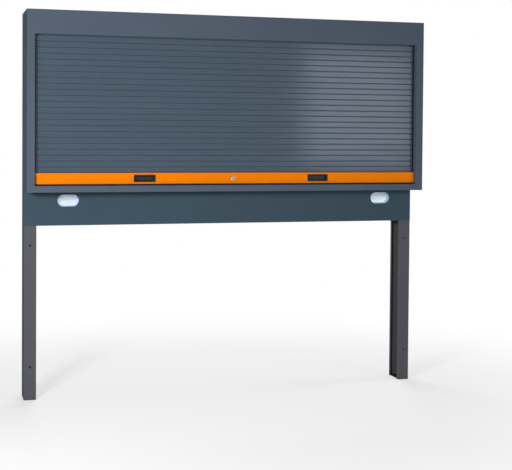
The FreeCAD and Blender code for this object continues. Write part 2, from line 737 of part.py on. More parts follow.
def bottom_bar():
    """The hollow bar that closes the shutter, with the hook that carries the first slat.

    Its ends are cut back behind, where they pass in front of the guide channels.
    """
    hook_right, hook_left = hook_points("bar_top")
    middle = "slat_front + slat_thickness / 2"
    outline = [
        ("bar_front", "bar_bottom"),
        ("slat_back", "bar_bottom"),
        ("slat_back", "bar_top"),
        (f"{middle} + hook_neck / 2", "bar_top"),
        *hook_right,
        *hook_left,
        (f"{middle} - hook_neck / 2", "bar_top"),
        ("bar_front", "bar_top"),
    ]
    hollow = rectangle("bar_front + bar_wall", "slat_back - bar_wall",
                       "bar_bottom + bar_wall", "bar_top - bar_wall")
    body = extrusion("bottom_bar_profile", "YZ_Plane", [outline, hollow], "-bar_half",
                     "2 * bar_half")
    corners = [(number("bar_front"), number(level)) for level in ("bar_bottom", "bar_top")]
    round_edges(body, "bottom_bar_edges", "bar_edge",
                lambda edge: lies_at(edge, "YZ_Plane", corners))
    cut_width = "handle_width - 2 * handle_rim + 2 * handle_play"
    cut_height = "handle_height - 2 * handle_rim + 2 * handle_play"
    windows = [box(f"handle_window_{side}", f"{sign} * handle_place - ({cut_width}) / 2",
                   "bar_front - bar_wall", f"bar_middle - ({cut_height}) / 2",
                   cut_width, "3 * bar_wall", cut_height)
               for side, sign in (("left", -1), ("right", 1))]
    lock_hole = cylinder("lock_hole", ALONG_Y, "0", "bar_front - bar_wall", "bar_middle",
                         "lock_case_radius + rod_play", "3 * bar_wall")
    reach = "bar_half - (bar_cut_half) + bar_wall"
    notches = [box(f"bar_notch_{side}", edge, "bar_notch", "bar_bottom - bar_wall", reach,
                   "slat_back - (bar_notch) + bar_wall", "bar_height + slat_pitch")
               for side, edge in (("left", "-bar_half - bar_wall"), ("right", "bar_cut_half"))]
    keep("bottom_bar", cut("bottom_bar", body, windows + [lock_hole] + notches))


def bottom_seal():
    """The rubber strip under the bar, resting on the sill's ledge."""
    keep("bottom_seal", box("bottom_seal", "-bar_back_half",
                            "slat_back - (bar_depth + seal_width) / 2", "sill_edge",
                            "2 * bar_back_half", "seal_width", "seal_height"))


def shoes():
    """End plates of the bar with a tongue in the guide channel and a slot for a lock rod."""
    def shoe(side, sign):
        plate_edge = "-bar_back_half" if sign < 0 else "bar_cut_half"
        tongue_edge = "-shoe_half" if sign < 0 else "bar_back_half"
        plate = box(f"bar_shoe_{side}_plate", plate_edge, "bar_notch", "bar_bottom",
                    "shoe_plate", "slat_back - (bar_notch)", "bar_height")
        tongue = box(f"bar_shoe_{side}_tongue", tongue_edge, "slat_front", "bar_bottom",
                     "shoe_tongue", "slat_thickness", "bar_height")
        slot = box(f"bar_shoe_{side}_slot", f"{tongue_edge} - 2 * shoe_plate",
                   "rod_front - rod_play",
                   f"bar_middle + {sign} * (rod_top - rod_height / 2)"
                   " - rod_height / 2 - rod_play",
                   "shoe_tongue + 4 * shoe_plate", "rod_depth + 2 * rod_play",
                   "rod_height + 2 * rod_play")
        body = fuse(f"bar_shoe_{side}_block", [plate, tongue])
        keep(f"bar_shoe_{side}", cut(f"bar_shoe_{side}", body, [slot]))
    mirrored_pair(shoe)


def handle_cups():
    """Finger cups let into the bar, each with a thin flange on its face."""
    cup_width = "handle_width - 2 * handle_rim"
    cup_height = "handle_height - 2 * handle_rim"
    for side, sign in (("left", -1), ("right", 1)):
        middle = f"{sign} * handle_place"

        def block(name, start, width, height, depth):
            return box(f"handle_{side}_{name}", f"{middle} - ({width}) / 2", start,
                       f"bar_middle - ({height}) / 2", width, depth, height)

        flange = document.addObject("PartDesign::Body", f"handle_{side}_flange")
        face = rectangle(f"{middle} - handle_width / 2", f"{middle} + handle_width / 2",
                         "bar_middle - handle_height / 2", "bar_middle + handle_height / 2")
        sketch = outline_sketch(flange, f"handle_{side}_flange_outline", "XZ_Plane", [face],
                                "-bar_front")
        pad = flange.newObject("PartDesign::Pad", f"handle_{side}_flange_pad")
        pad.Profile = sketch
        pad.setExpression("Length", bound("handle_flange"))
        corners = [(number(across), number(along)) for across, along in face]
        round_edges(flange, f"handle_{side}_flange_corners", "handle_corner",
                    lambda edge: lies_at(edge, "XZ_Plane", corners))
        case = block("case", "bar_front", cup_width, cup_height, "handle_cup_depth")
        hollow = block("hollow", "bar_front - 2 * handle_flange",
                       f"{cup_width} - 2 * handle_wall", f"{cup_height} - 2 * handle_wall",
                       "handle_cup_depth - handle_wall + 2 * handle_flange")
        shell = fuse(f"handle_{side}_shell", [flange, case])
        keep(f"handle_cup_{side}", cut(f"handle_cup_{side}", shell, [hollow]))


def lock():
    """The lock: a fixed housing, a turning plug with its cam, and the two rods it drives."""
    face = cylinder("lock_rosette", ALONG_Y, "0", "bar_front - lock_face_rise", "bar_middle",
                    "lock_face_radius", "lock_face_rise")
    case = cylinder("lock_case", ALONG_Y, "0", "bar_front", "bar_middle", "lock_case_radius",
                    "lock_depth - rod_play")
    bore = cylinder("lock_bore", ALONG_Y, "0", "bar_front - 2 * lock_face_rise", "bar_middle",
                    "lock_plug_radius + lock_play", "lock_depth + 4 * lock_face_rise")
    keep("lock_housing", cut("lock_housing", fuse("lock_housing_outer", [face, case]), [bore]))

    plug_front = "bar_front - lock_face_rise - lock_plug_rise"
    plug = cylinder("lock_plug", ALONG_Y, "0", plug_front, "bar_middle", "lock_plug_radius",
                    f"cam_front - ({plug_front})")
    slot = box("key_slot", "-key_slot_width / 2", f"{plug_front} - key_slot_depth",
               "bar_middle - key_slot_length / 2", "key_slot_width", "2 * key_slot_depth",
               "key_slot_length")
    keep("lock_cylinder", cut("lock_cylinder", plug, [slot]))

    disc = cylinder("cam_disc", ALONG_Y, "0", "cam_front", "bar_middle", "cam_radius",
                    "cam_wall")
    pin_step = "bolt_throw / 2"
    pins = [cylinder(f"cam_pin_{name}", ALONG_Y, f"{-sign} * {pin_step}", "cam_back",
                     f"bar_middle + {sign} * {pin_step}", "cam_pin_radius", "cam_pin_length")
            for name, sign in (("left", -1), ("right", 1))]
    keep("lock_cam", fuse("lock_cam", [disc] + pins))

    def rod(side, sign):
        inner = "rod_tab_width / 2 + bolt_throw / 2"
        length = f"shoe_half - rod_play + {inner}"
        level = f"bar_middle + {sign} * (rod_top - rod_height / 2) - rod_height / 2"
        strip_edge = f"-({inner})" if sign > 0 else f"-(shoe_half - rod_play)"
        strip = box(f"lock_rod_{side}_strip", strip_edge, "rod_front", level, length,
                    "rod_depth", "rod_height")
        tab_low = "bolt_throw / 2 - cam_pin_radius - pin_play - rod_tab_wall"
        tab_edge = f"-({inner})" if sign > 0 else f"{inner} - rod_tab_width"
        tab_base = f"bar_middle + {tab_low}" if sign > 0 else "bar_middle - rod_top"
        tab_front = "cam_back + rod_play"
        tab = box(f"lock_rod_{side}_tab", tab_edge, tab_front, tab_base, "rod_tab_width",
                  "rod_tab_wall", f"rod_top - ({tab_low})")
        slot_half = "cam_pin_radius + pin_play"
        slot_low = f"bolt_throw / 2 - ({slot_half})"
        slot_high = f"bolt_throw / 2 * sqrt(2) + {slot_half}"
        slot_base = f"bar_middle + {slot_low}" if sign > 0 else f"bar_middle - ({slot_high})"
        slot = box(f"lock_rod_{side}_slot", f"{-sign} * bolt_throw / 2 - ({slot_half})",
                   f"{tab_front} - rod_tab_wall", slot_base, f"2 * ({slot_half})",
                   "3 * rod_tab_wall", f"{slot_high} - ({slot_low})")
        body = fuse(f"lock_rod_{side}_body", [strip, tab])
        keep(f"lock_rod_{side}", cut(f"lock_rod_{side}", body, [slot]))
    mirrored_pair(rod)

    keepers = []
    for side, sign in (("left", -1), ("right", 1)):
        inner = "shoe_half + keeper_gap"
        depth = f"guide_web - ({inner})"
        edge = "-guide_web" if sign < 0 else inner
        block = box(f"lock_keeper_{side}_block", edge, "guide_inside_front + bend_radius",
                    "bar_bottom", depth,
                    "guide_inside_back - guide_inside_front - 2 * bend_radius", "bar_height")
        pocket = box(f"lock_keeper_{side}_pocket", f"{edge} - keeper_gap",
                     "rod_front - keeper_play",
                     f"bar_middle + {sign} * (rod_top - rod_height / 2)"
                     " - rod_height / 2 - keeper_play",
                     f"{depth} + 2 * keeper_gap", "rod_depth + 2 * keeper_play",
                     "rod_height + 2 * keeper_play")
        keepers.append(cut(f"lock_keeper_{side}", block, [pocket]))
    keep("lock_keepers", group("lock_keepers", keepers))


def roller():
    """The fixed axle with its brackets and spring, and the tube that turns on bearings."""
    def bracket(side, sign):
        plate_edge = "-inner_half" if sign < 0 else "bracket_face"
        hub_end = "tube_half + bearing_flange + hub_gap"
        hub_edge = "-bracket_face" if sign < 0 else hub_end
        plate = box(f"roller_bracket_{side}_plate", plate_edge, "axle_depth - bracket_width / 2",
                    "axle_level - bracket_height / 2", "bracket_wall", "bracket_width",
                    "bracket_height")
        hub = cylinder(f"roller_bracket_{side}_hub", ALONG_X, hub_edge, "axle_depth",
                       "axle_level", "hub_radius", f"bracket_face - ({hub_end})")
        bore = cylinder(f"roller_bracket_{side}_bore", ALONG_X,
                        "-bracket_face" if sign < 0 else f"{hub_end} - hub_gap",
                        "axle_depth", "axle_level", "axle_radius + axle_play",
                        f"bracket_face - ({hub_end}) + hub_gap")
        keep(f"roller_bracket_{side}",
             cut(f"roller_bracket_{side}", fuse(f"roller_bracket_{side}_body", [plate, hub]),
                 [bore]))
    mirrored_pair(bracket)

    keep("roller_axle", cylinder("roller_axle", ALONG_X, "-bracket_face", "axle_depth",
                                 "axle_level", "axle_radius", "2 * bracket_face"))

    spring_start = "bearing_length - tube_half + bearing_flange"
    drum = cylinder("spring_drum", ALONG_X, spring_start, "axle_depth", "axle_level",
                    "spring_radius", "spring_length")
    drum_bore = cylinder("spring_drum_bore", ALONG_X, f"{spring_start} - bearing_flange",
                         "axle_depth", "axle_level", "axle_radius + axle_play",
                         "spring_length + 2 * bearing_flange")
    keep("spring_cartridge", cut("spring_cartridge", drum, [drum_bore]))

    outer = cylinder("roller_tube_outer", ALONG_X, "-tube_half", "axle_depth", "axle_level",
                     "roller_radius", "2 * tube_half")
    inner = cylinder("roller_tube_inner", ALONG_X, "-tube_half - roller_wall", "axle_depth",
                     "axle_level", "roller_radius - roller_wall",
                     "2 * tube_half + 2 * roller_wall")
    keep("roller_tube", cut("roller_tube", outer, [inner]))

    bearings = []
    for side, sign in (("left", -1), ("right", 1)):
        plug_edge = "-tube_half" if sign < 0 else "tube_half - bearing_length"
        flange_edge = "-tube_half - bearing_flange" if sign < 0 else "tube_half"
        start = "-tube_half - bearing_flange" if sign < 0 else "tube_half - bearing_length"
        plug = cylinder(f"bearing_{side}_plug", ALONG_X, plug_edge, "axle_depth", "axle_level",
                        "roller_radius - roller_wall - axle_play", "bearing_length")
        flange = cylinder(f"bearing_{side}_flange", ALONG_X, flange_edge, "axle_depth",
                          "axle_level", "roller_radius", "bearing_flange")
        bore = cylinder(f"bearing_{side}_bore", ALONG_X, f"{start} - bearing_flange",
                        "axle_depth", "axle_level", "axle_radius + axle_play",
                        "bearing_length + 3 * bearing_flange")
        bearings.append(cut(f"bearing_{side}", fuse(f"bearing_{side}_body", [plug, flange]),
                            [bore]))
    keep("roller_bearings", group("roller_bearings", bearings))


def curtain_straps():
    """Flat straps that hang the top slat's hook from the roller and wrap round its tube."""
    wrap = math.radians(number("strap_wrap"))
    inner = number("strap_inner_radius")
    outer = inner + number("strap_wall")
    centre = FreeCAD.Vector(0, number("axle_depth"), number("axle_level"))
    low = number("bar_top + slat_count * slat_pitch + hook_lift - slat_groove + hook_lift")

    def on_circle(radius, angle):
        """A point at an angle from the roller's front, over its top."""
        return centre + FreeCAD.Vector(0, -radius * math.cos(angle), radius * math.sin(angle))

    def hanging(radius):
        """The lower end of the straight run below the roller's front."""
        return FreeCAD.Vector(0, centre.y - radius, low)

    edges = [
        Part.LineSegment(hanging(outer), on_circle(outer, 0)).toShape(),
        Part.Arc(on_circle(outer, 0), on_circle(outer, wrap / 2),
                 on_circle(outer, wrap)).toShape(),
        Part.LineSegment(on_circle(outer, wrap), on_circle(inner, wrap)).toShape(),
        Part.Arc(on_circle(inner, wrap), on_circle(inner, wrap / 2),
                 on_circle(inner, 0)).toShape(),
        Part.LineSegment(on_circle(inner, 0), hanging(inner)).toShape(),
        Part.LineSegment(hanging(inner), hanging(outer)).toShape(),
    ]
    section = Part.Face(Part.Wire(edges))
    width = number("strap_width")
    reach = number("tube_half - strap_inset")
    last = int(number("strap_count")) - 1
    straps = []
    for index in range(last + 1):
        strap = document.addObject("Part::Feature", f"strap_{index + 1}")
        strap.Shape = section.extrude(FreeCAD.Vector(width, 0, 0))
        strap.Placement.Base.x = -reach + 2 * reach * index / last - width / 2
        straps.append(strap)
    keep("curtain_straps", group("curtain_straps", straps))


for build in (uprights, cross_rails, rear_panel, cable_port_cups, side_panels, top_panel,
              bottom_panel, header_cover, tool_panel, cabinet_screws, guides, end_stops,
              slats, bottom_bar, bottom_seal, shoes, handle_cups, lock, roller,
              curtain_straps):
    build()
document.recompute()

for item in document.Objects:
    if {"Invalid", "Error"} & set(item.State):
        raise RuntimeError(f"{item.Name} did not recompute: {item.State}")
for item in PARTS:
    if item.Shape.isNull() or not item.Shape.isValid() or not item.Shape.Solids:
        raise RuntimeError(f"{item.Label} has no valid solid")

os.makedirs("parts", exist_ok=True)
for item in PARTS:
    item.Shape.exportStep(f"parts/{item.Label}.step")
    print(f"{item.Label}: {len(item.Shape.Solids)} solid, {item.Shape.Volume / 1000:.1f} cm3")
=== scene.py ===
"""Looks of the roll front tool cabinet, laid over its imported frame.

Everything is in metres, in the frame's axes: +X right, +Y to the rear, +Z up. The origin is
the middle of the bench bolts. Each new piece stands at its own place in the frame.
"""
import json
import math

import bmesh
import bpy
import numpy as np
from bpy.props import (
    FloatProperty,
    FloatVectorProperty,
    PointerProperty,
    StringProperty,
)
from mathutils import Matrix, Vector


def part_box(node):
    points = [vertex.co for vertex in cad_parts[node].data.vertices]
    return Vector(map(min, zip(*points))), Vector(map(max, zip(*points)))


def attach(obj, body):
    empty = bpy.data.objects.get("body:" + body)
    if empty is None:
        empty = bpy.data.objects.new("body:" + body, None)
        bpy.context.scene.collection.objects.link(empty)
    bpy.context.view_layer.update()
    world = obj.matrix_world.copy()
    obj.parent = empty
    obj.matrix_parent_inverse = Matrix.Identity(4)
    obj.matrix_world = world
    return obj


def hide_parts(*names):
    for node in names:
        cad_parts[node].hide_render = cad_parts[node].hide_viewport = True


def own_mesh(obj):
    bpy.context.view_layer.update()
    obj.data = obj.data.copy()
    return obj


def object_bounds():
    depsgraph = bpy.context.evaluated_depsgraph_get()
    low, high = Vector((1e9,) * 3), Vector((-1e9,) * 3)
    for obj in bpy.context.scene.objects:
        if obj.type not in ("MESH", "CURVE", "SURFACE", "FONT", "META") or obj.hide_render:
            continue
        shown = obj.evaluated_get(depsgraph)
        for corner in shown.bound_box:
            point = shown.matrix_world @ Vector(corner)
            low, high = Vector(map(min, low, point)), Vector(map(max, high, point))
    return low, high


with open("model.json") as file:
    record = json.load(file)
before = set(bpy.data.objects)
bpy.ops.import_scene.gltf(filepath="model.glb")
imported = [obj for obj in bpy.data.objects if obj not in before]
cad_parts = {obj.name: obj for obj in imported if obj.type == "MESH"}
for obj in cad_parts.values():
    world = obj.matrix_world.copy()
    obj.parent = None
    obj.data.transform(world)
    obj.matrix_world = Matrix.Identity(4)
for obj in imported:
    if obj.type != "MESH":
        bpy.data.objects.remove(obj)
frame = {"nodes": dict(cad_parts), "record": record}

bl_info = {
    "name": "Roll Front Tool Cabinet",
    "version": (1, 0, 0),
    "blender": (4, 5, 0),
    "location": "View3D > Sidebar > Cabinet",
    "description": "Dresses the roll front tool cabinet and sets up its studio",
    "category": "Object",
}

MM = 0.001
CAD_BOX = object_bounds()
SLATS = sorted(name for name in frame["nodes"] if name.startswith("slat_"))
WELD_DISTANCE = 0.001 * MM
# A noise texture hardly leaves this band, so patterns are spread over it.
NOISE_LOW, NOISE_HIGH = 0.3, 0.7
# In millimetres, like the focal length.
SENSOR_WIDTH = 36.0


# ---------------------------------------------------------------- settings

class CabinetSizes(bpy.types.PropertyGroup):
    """Sizes of the detail that the new pieces add to the frame."""

    slat_edge: FloatProperty(
        name="Slat edge", description="Rounding of a slat's long front edges",
        default=2.1 * MM, unit="LENGTH")
    slat_crown: FloatProperty(
        name="Slat crown", description="Rise of a slat's face between its edges",
        default=0.02 * MM, unit="LENGTH")
    slat_skin: FloatProperty(
        name="Slat skin", description="Wall of the slats",
        default=1.0 * MM, unit="LENGTH")
    slat_groove: FloatProperty(
        name="Slat groove", description="Height of the open groove over a slat",
        default=0.5 * MM, unit="LENGTH")
    cup_wall: FloatProperty(
        name="Finger cup wall", description="Moulded wall of the finger cups",
        default=1.6 * MM, unit="LENGTH")
    cup_rim: FloatProperty(
        name="Finger cup rim", description="Flange of a finger cup past its case",
        default=4.0 * MM, unit="LENGTH")
    cup_corner: FloatProperty(
        name="Finger cup corner", description="Corner radius of a finger cup's flange",
        default=3.0 * MM, unit="LENGTH")
    port_wall: FloatProperty(
        name="Port cup wall", description="Moulded wall of the cable port cups",
        default=2.0 * MM, unit="LENGTH")
    port_rim: FloatProperty(
        name="Port cup rim", description="Rim of a port cup behind its panel",
        default=6.0 * MM, unit="LENGTH")
    bristle_pitch: FloatProperty(
        name="Tuft pitch", description="Tuft to tuft along the brush strips",
        default=3.0 * MM, unit="LENGTH")


class CabinetColours(bpy.types.PropertyGroup):
    """Colours of the finishes, as sRGB hex values."""

    frame_paint: StringProperty(
        name="Frame paint", description="Powder coat of the cabinet", default="#4F5966")
    # The frame's powder coat drawn darker and bluer: painted shade from the cabinet that
    # overhangs the cable-port panel.
    shaded_band_paint: StringProperty(
        name="Band paint", description="Powder coat of the panel with the cable ports",
        default="#3D4E59")
    slat_paint: StringProperty(
        name="Slat paint", description="Coil coating of the slats", default="#3D4C5A")
    bar_paint: StringProperty(
        name="Bar paint", description="Coating of the bottom bar", default="#EA7B00")
    upright_paint: StringProperty(
        name="Upright paint", description="Powder coat of the uprights", default="#55575A")
    panel_paint: StringProperty(
        name="Tool panel paint", description="Powder coat of the tool panel",
        default="#C4C8CC")
    pale_plastic: StringProperty(
        name="Port cups", description="Moulded plastic of the port cups", default="#B8D8FF")
    black_plastic: StringProperty(
        name="Black plastic", description="Moulded plastic of cups, shoes and caps",
        default="#1B1C1E")
    rubber: StringProperty(
        name="Rubber", description="Seal and stops", default="#161616")
    aluminium: StringProperty(
        name="Aluminium", description="Guides and roller tube", default="#B9BCBE")
    anodising: StringProperty(
        name="Anodising", description="Dyed skin of the guide channels", default="#17181B")
    zinc: StringProperty(
        name="Zinc plating", description="Axle, brackets, screws and rods",
        default="#B4B8BB")
    nickel: StringProperty(
        name="Nickel plating", description="Lock face and plug", default="#A09D98")
    webbing: StringProperty(
        name="Webbing", description="Straps of the shutter", default="#222326")
    floor: StringProperty(
        name="Floor", description="Studio floor", default="#F4F4F4")


class CabinetStudio(bpy.types.PropertyGroup):
    """Camera and lamps."""

    camera_place: FloatVectorProperty(
        name="Camera place", description="Where the camera stands",
        default=(-1.22428, -4.72356, 0.71656), subtype="TRANSLATION")
    camera_yaw: FloatProperty(
        name="Yaw", description="Turn of the camera to the right",
        default=0.27934, subtype="ANGLE")
    camera_pitch: FloatProperty(
        name="Pitch", description="Tilt of the camera upwards",
        default=-0.02776, subtype="ANGLE")
    camera_roll: FloatProperty(
        name="Roll", description="Turn of the camera about its own axis",
        default=0.00749, subtype="ANGLE")
    camera_lens: FloatProperty(
        name="Lens", description="Focal length for a 36 mm wide sensor",
        default=80.347, unit="CAMERA")
    camera_shift: FloatProperty(
        name="Shift", description="Upward shift of the sensor, in widths",
        default=-0.13764)
    key_power: FloatProperty(
        name="Key lamp", description="Lamp low at the left, in front", default=71.5,
        unit="POWER")
    fill_power: FloatProperty(
        name="Fill lamp", description="Lamp low at the right, in front", default=9.0,
        unit="POWER")
    sheen_power: FloatProperty(
        name="Sheen lamp", description="Lamp that the slats mirror", default=8.9,
        unit="POWER")
    sheen_colour: FloatVectorProperty(
        name="Sheen colour", description="Linear colour of the sheen lamp",
        default=(0.84, 0.88, 1.0), subtype="COLOR")
    back_power: FloatProperty(
        name="Back lamp", description="Lamp behind the cabinet", default=100.0,
        unit="POWER")
    side_power: FloatProperty(
        name="Side lamp", description="Lamp beside the cabinet, at the right",
        default=20.0, unit="POWER")
    bounce_power: FloatProperty(
        name="Bounce card", description="Light thrown up from a card before the cabinet",
        default=0.5, unit="POWER")
    room_strength: FloatProperty(
        name="Room light", description="Even light from all around", default=0.15)
    floor_reach: FloatProperty(
        name="Floor", description="Half the side of the floor", default=14.0,
        unit="LENGTH")


# ---------------------------------------------------------------- geometry

def profile_along_x(profile, start, end):
    """A closed profile carried along X.

    Row i, column j of the result is (x_i, y_j, z_j): the profile's (y, z) points, taken to
    both ends of the path.
    """
    ends = np.array([start, end])
    points = np.empty((len(ends), len(profile), 3))
    points[:, :, 0] = ends[:, None]
    points[:, :, 1:] = profile[None, :, :]
    return points


def rounded_rings(centre, stations, steps=8):
    """Rounded rectangles carried along Y.

    A station is (half width, half height, corner radius, depth). With the angle a in one of
    the four quadrants and the signs sx, sz of that quadrant, its ring is
    x = sx (width - radius) + radius cos a, z = sz (height - radius) + radius sin a.
    A ring with its radius equal to both half sizes is a circle.
    """
    quarter = np.linspace(0.0, math.pi / 2, steps)
    angle = np.concatenate([quarter + turn * math.pi / 2 for turn in range(4)])
    sign_x = np.repeat([1.0, -1.0, -1.0, 1.0], steps)
    sign_z = np.repeat([1.0, 1.0, -1.0, -1.0], steps)
    width, height, radius, depth = (column[:, None] for column in np.array(stations).T)
    x = sign_x * (width - radius) + radius * np.cos(angle)
    z = sign_z * (height - radius) + radius * np.sin(angle)
    y = depth + np.zeros_like(x)
    return np.stack([x, y, z], axis=2) + np.array(centre)


def turned_rings(centre, outline, steps):
    """A shape turned about Y: each (radius, depth) of its outline is a full circle."""
    stations = [(radius, radius, radius, depth) for radius, depth in outline]
    return rounded_rings(centre, stations, steps)


def quarter_round(radius, steps=5):
    """Offsets of a quarter turn from (radius, 0) to (0, radius): r cos a, r sin a."""
    angle = np.linspace(0.0, math.pi / 2, steps)
    return np.stack([radius * np.cos(angle), radius * np.sin(angle)], axis=1)


def grid_faces(rows, columns, first=0, closed=False):
    """Quads between neighbours of a grid whose columns wrap, and its end faces.

    Corner (i, j) is vertex first + i * columns + j. A closed grid also joins its last row
    to its first one; an open one is closed by a face over each end row.
    """
    row = np.arange(rows if closed else rows - 1)[:, None]
    column = np.arange(columns)[None, :]
    following_row = (row + 1) % rows
    following_column = (column + 1) % columns
    corners = [row * columns + column, row * columns + following_column,
               following_row * columns + following_column, following_row * columns + column]
    quads = np.stack(np.broadcast_arrays(*corners), axis=2).reshape(-1, 4) + first
    faces = quads.tolist()
    if not closed:
        faces.append((first + np.arange(columns)[::-1]).tolist())
        faces.append((first + (rows - 1) * columns + np.arange(columns)).tolist())
    return faces


def box_middle(low_corner, high_corner):
    """The middle of a box in X and Z, on the plane Y = 0."""
    return ((low_corner[0] + high_corner[0]) / 2, 0.0, (low_corner[2] + high_corner[2]) / 2)


def mesh_points(node):
    """The corners of a node's mesh, one row of x, y, z each."""
    vertices = frame["nodes"][node].data.vertices
    points = np.empty(3 * len(vertices))
    vertices.foreach_get("co", points)
    return points.reshape(-1, 3)


def make_piece(name, grids, closed=False, sharp_angle=35.0):
    """One object from one or more closed surfaces, with its faces outwards."""
    vertices = []
    faces = []
    for grid in grids:
        rows, columns = grid.shape[:2]
        first = sum(len(part) for part in vertices)
        vertices.append(grid.reshape(-1, 3))
        faces += grid_faces(rows, columns, first, closed)
    mesh = bpy.data.meshes.new(name)
    mesh.from_pydata(np.concatenate(vertices).tolist(), [], faces)
    shape = bmesh.new()
    shape.from_mesh(mesh)
    bmesh.ops.remove_doubles(shape, verts=shape.verts, dist=WELD_DISTANCE)
    bmesh.ops.recalc_face_normals(shape, faces=shape.faces)
    shape.to_mesh(mesh)
    shape.free()
    mesh.shade_smooth()
    mesh.set_sharp_from_angle(angle=math.radians(sharp_angle))
    piece = bpy.data.objects.new(name, mesh)
    bpy.context.scene.collection.objects.link(piece)
    return piece


def finish_piece(piece, slot, body, *nodes):
    """Gives a piece the finish of its slot, its body and the nodes that it stands for."""
    if not piece.data.polygons:
        raise RuntimeError(f"{piece.name} has no faces")
    piece.data.materials.append(finish(slot))
    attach(piece, body)
    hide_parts(*nodes)


# ---------------------------------------------------------------- materials

def linear(hex_colour):
    """The linear RGBA of an sRGB hex colour."""
    values = np.array([int(hex_colour[place:place + 2], 16) for place in (1, 3, 5)]) / 255
    low = values / 12.92
    high = ((values + 0.055) / 1.055) ** 2.4
    return (*np.where(values <= 0.04045, low, high).tolist(), 1.0)


def shade(hex_colour, factor):
    """The same colour, lighter or darker by a factor in linear light."""
    red, green, blue, alpha = linear(hex_colour)
    return (red * factor, green * factor, blue * factor, alpha)


def per_metre(size_mm):
    """The scale of a pattern whose features are so many millimetres apart."""
    return 1.0 / (size_mm * MM)


def add_node(tree, kind, settings=None, values=None, links=None):
    """Adds one node: its own settings, the values of its sockets, and links into them."""
    node = tree.nodes.new(kind)
    for name, value in (settings or {}).items():
        setattr(node, name, value)
    for socket, value in (values or {}).items():
        node.inputs[socket].default_value = value
    for socket, output in (links or {}).items():
        tree.links.new(output, node.inputs[socket])
    return node


def new_material(name, values):
    """A material with one Principled surface, whose even values are on its own sockets."""
    material = bpy.data.materials.new(name)
    material.use_nodes = True
    tree = material.node_tree
    tree.nodes.clear()
    surface = add_node(tree, "ShaderNodeBsdfPrincipled", values=values)
    add_node(tree, "ShaderNodeOutputMaterial", links={"Surface": surface.outputs["BSDF"]})
    return material, tree, surface


def place_on_piece(tree, stretch=(1.0, 1.0, 1.0)):
    """Object coordinates, drawn out along the axes by the stretch."""
    coordinates = add_node(tree, "ShaderNodeTexCoord")
    scale = tuple(1.0 / value for value in stretch)
    mapping = add_node(tree, "ShaderNodeMapping", values={"Scale": scale},
                       links={"Vector": coordinates.outputs["Object"]})
    return mapping.outputs["Vector"]


def mottle(tree, surface, place, hex_colour, size_mm, amount):
    """Lets the colour drift between a darker and a lighter shade in soft patches."""
    noise = add_node(tree, "ShaderNodeTexNoise",
                     values={"Scale": per_metre(size_mm), "Detail": 3.0, "Roughness": 0.5},
                     links={"Vector": place})
    ramp = add_node(tree, "ShaderNodeValToRGB", links={"Fac": noise.outputs["Fac"]})
    dark, light = ramp.color_ramp.elements
    dark.position = NOISE_LOW
    dark.color = shade(hex_colour, 1.0 - amount)
    light.position = NOISE_HIGH
    light.color = shade(hex_colour, 1.0 + amount)
    tree.links.new(ramp.outputs["Color"], surface.inputs["Base Color"])


def uneven_gloss(tree, surface, place, size_mm, low, high):
    """Lets the roughness drift between two values."""
    noise = add_node(tree, "ShaderNodeTexNoise",
                     values={"Scale": per_metre(size_mm), "Detail": 2.0},
                     links={"Vector": place})
    spread = add_node(tree, "ShaderNodeMapRange",
                      values={"From Min": NOISE_LOW, "From Max": NOISE_HIGH,
                              "To Min": low, "To Max": high},
                      links={"Value": noise.outputs["Fac"]})
    tree.links.new(spread.outputs["Result"], surface.inputs["Roughness"])


def relief(tree, surface, place, layers):
    """Bumps of one or more noises: each layer is (feature size in mm, depth in mm)."""
    normal = None
    for size_mm, depth_mm in layers:
        noise = add_node(tree, "ShaderNodeTexNoise",
                         values={"Scale": per_metre(size_mm), "Detail": 1.0},
                         links={"Vector": place})
        links = {"Height": noise.outputs["Fac"]}
        if normal is not None:
            links["Normal"] = normal
        bump = add_node(tree, "ShaderNodeBump", values={"Distance": depth_mm * MM},
                        links=links)
        normal = bump.outputs["Normal"]
    tree.links.new(normal, surface.inputs["Normal"])


def powder_coated_steel(name, hex_colour):
    """Polyester powder, sprayed and baked on sheet steel.

    It gives an even, nearly matt skin. Its orange-peel ripple is about 2 mm in life, and is
    drawn 7 mm wide so that it shows.
    """
    material, tree, surface = new_material(
        name, {"Roughness": 0.78, "IOR": 1.45, "Specular IOR Level": 0.01,
               "Base Color": linear(hex_colour)})
    place = place_on_piece(tree)
    mottle(tree, surface, place, hex_colour, size_mm=260, amount=0.035)
    uneven_gloss(tree, surface, place, size_mm=120, low=0.72, high=0.84)
    relief(tree, surface, place, [(7, 0.012), (180, 0.10)])
    return material


def coil_coated_slat(name, hex_colour):
    """Aluminium strip, lacquered flat and then roll-formed into slats.

    It is smoother than powder coat, so broad lamps show in it as soft streaks. The faint
    waves that rolling leaves along a slat break them up.
    """
    material, tree, surface = new_material(
        name, {"Roughness": 0.13, "IOR": 1.5, "Specular IOR Level": 0.3,
               "Base Color": linear(hex_colour)})
    place = place_on_piece(tree, stretch=(6.0, 1.0, 1.0))
    mottle(tree, surface, place, hex_colour, size_mm=60, amount=0.03)
    uneven_gloss(tree, surface, place, size_mm=40, low=0.1, high=0.16)
    relief(tree, surface, place_on_piece(tree, stretch=(2.0, 1.0, 1.0)),
           [(200, 1.3), (45, 0.13)])
    return material


def lacquered_bar(name, hex_colour):
    """Extruded aluminium with a stoved orange lacquer: an even, clean satin."""
    material, tree, surface = new_material(
        name, {"Roughness": 0.5, "IOR": 1.5, "Specular IOR Level": 0.05,
               "Base Color": linear(hex_colour)})
    place = place_on_piece(tree, stretch=(5.0, 1.0, 1.0))
    mottle(tree, surface, place, hex_colour, size_mm=50, amount=0.03)
    uneven_gloss(tree, surface, place, size_mm=30, low=0.45, high=0.55)
    relief(tree, surface, place, [(6, 0.006)])
    return material


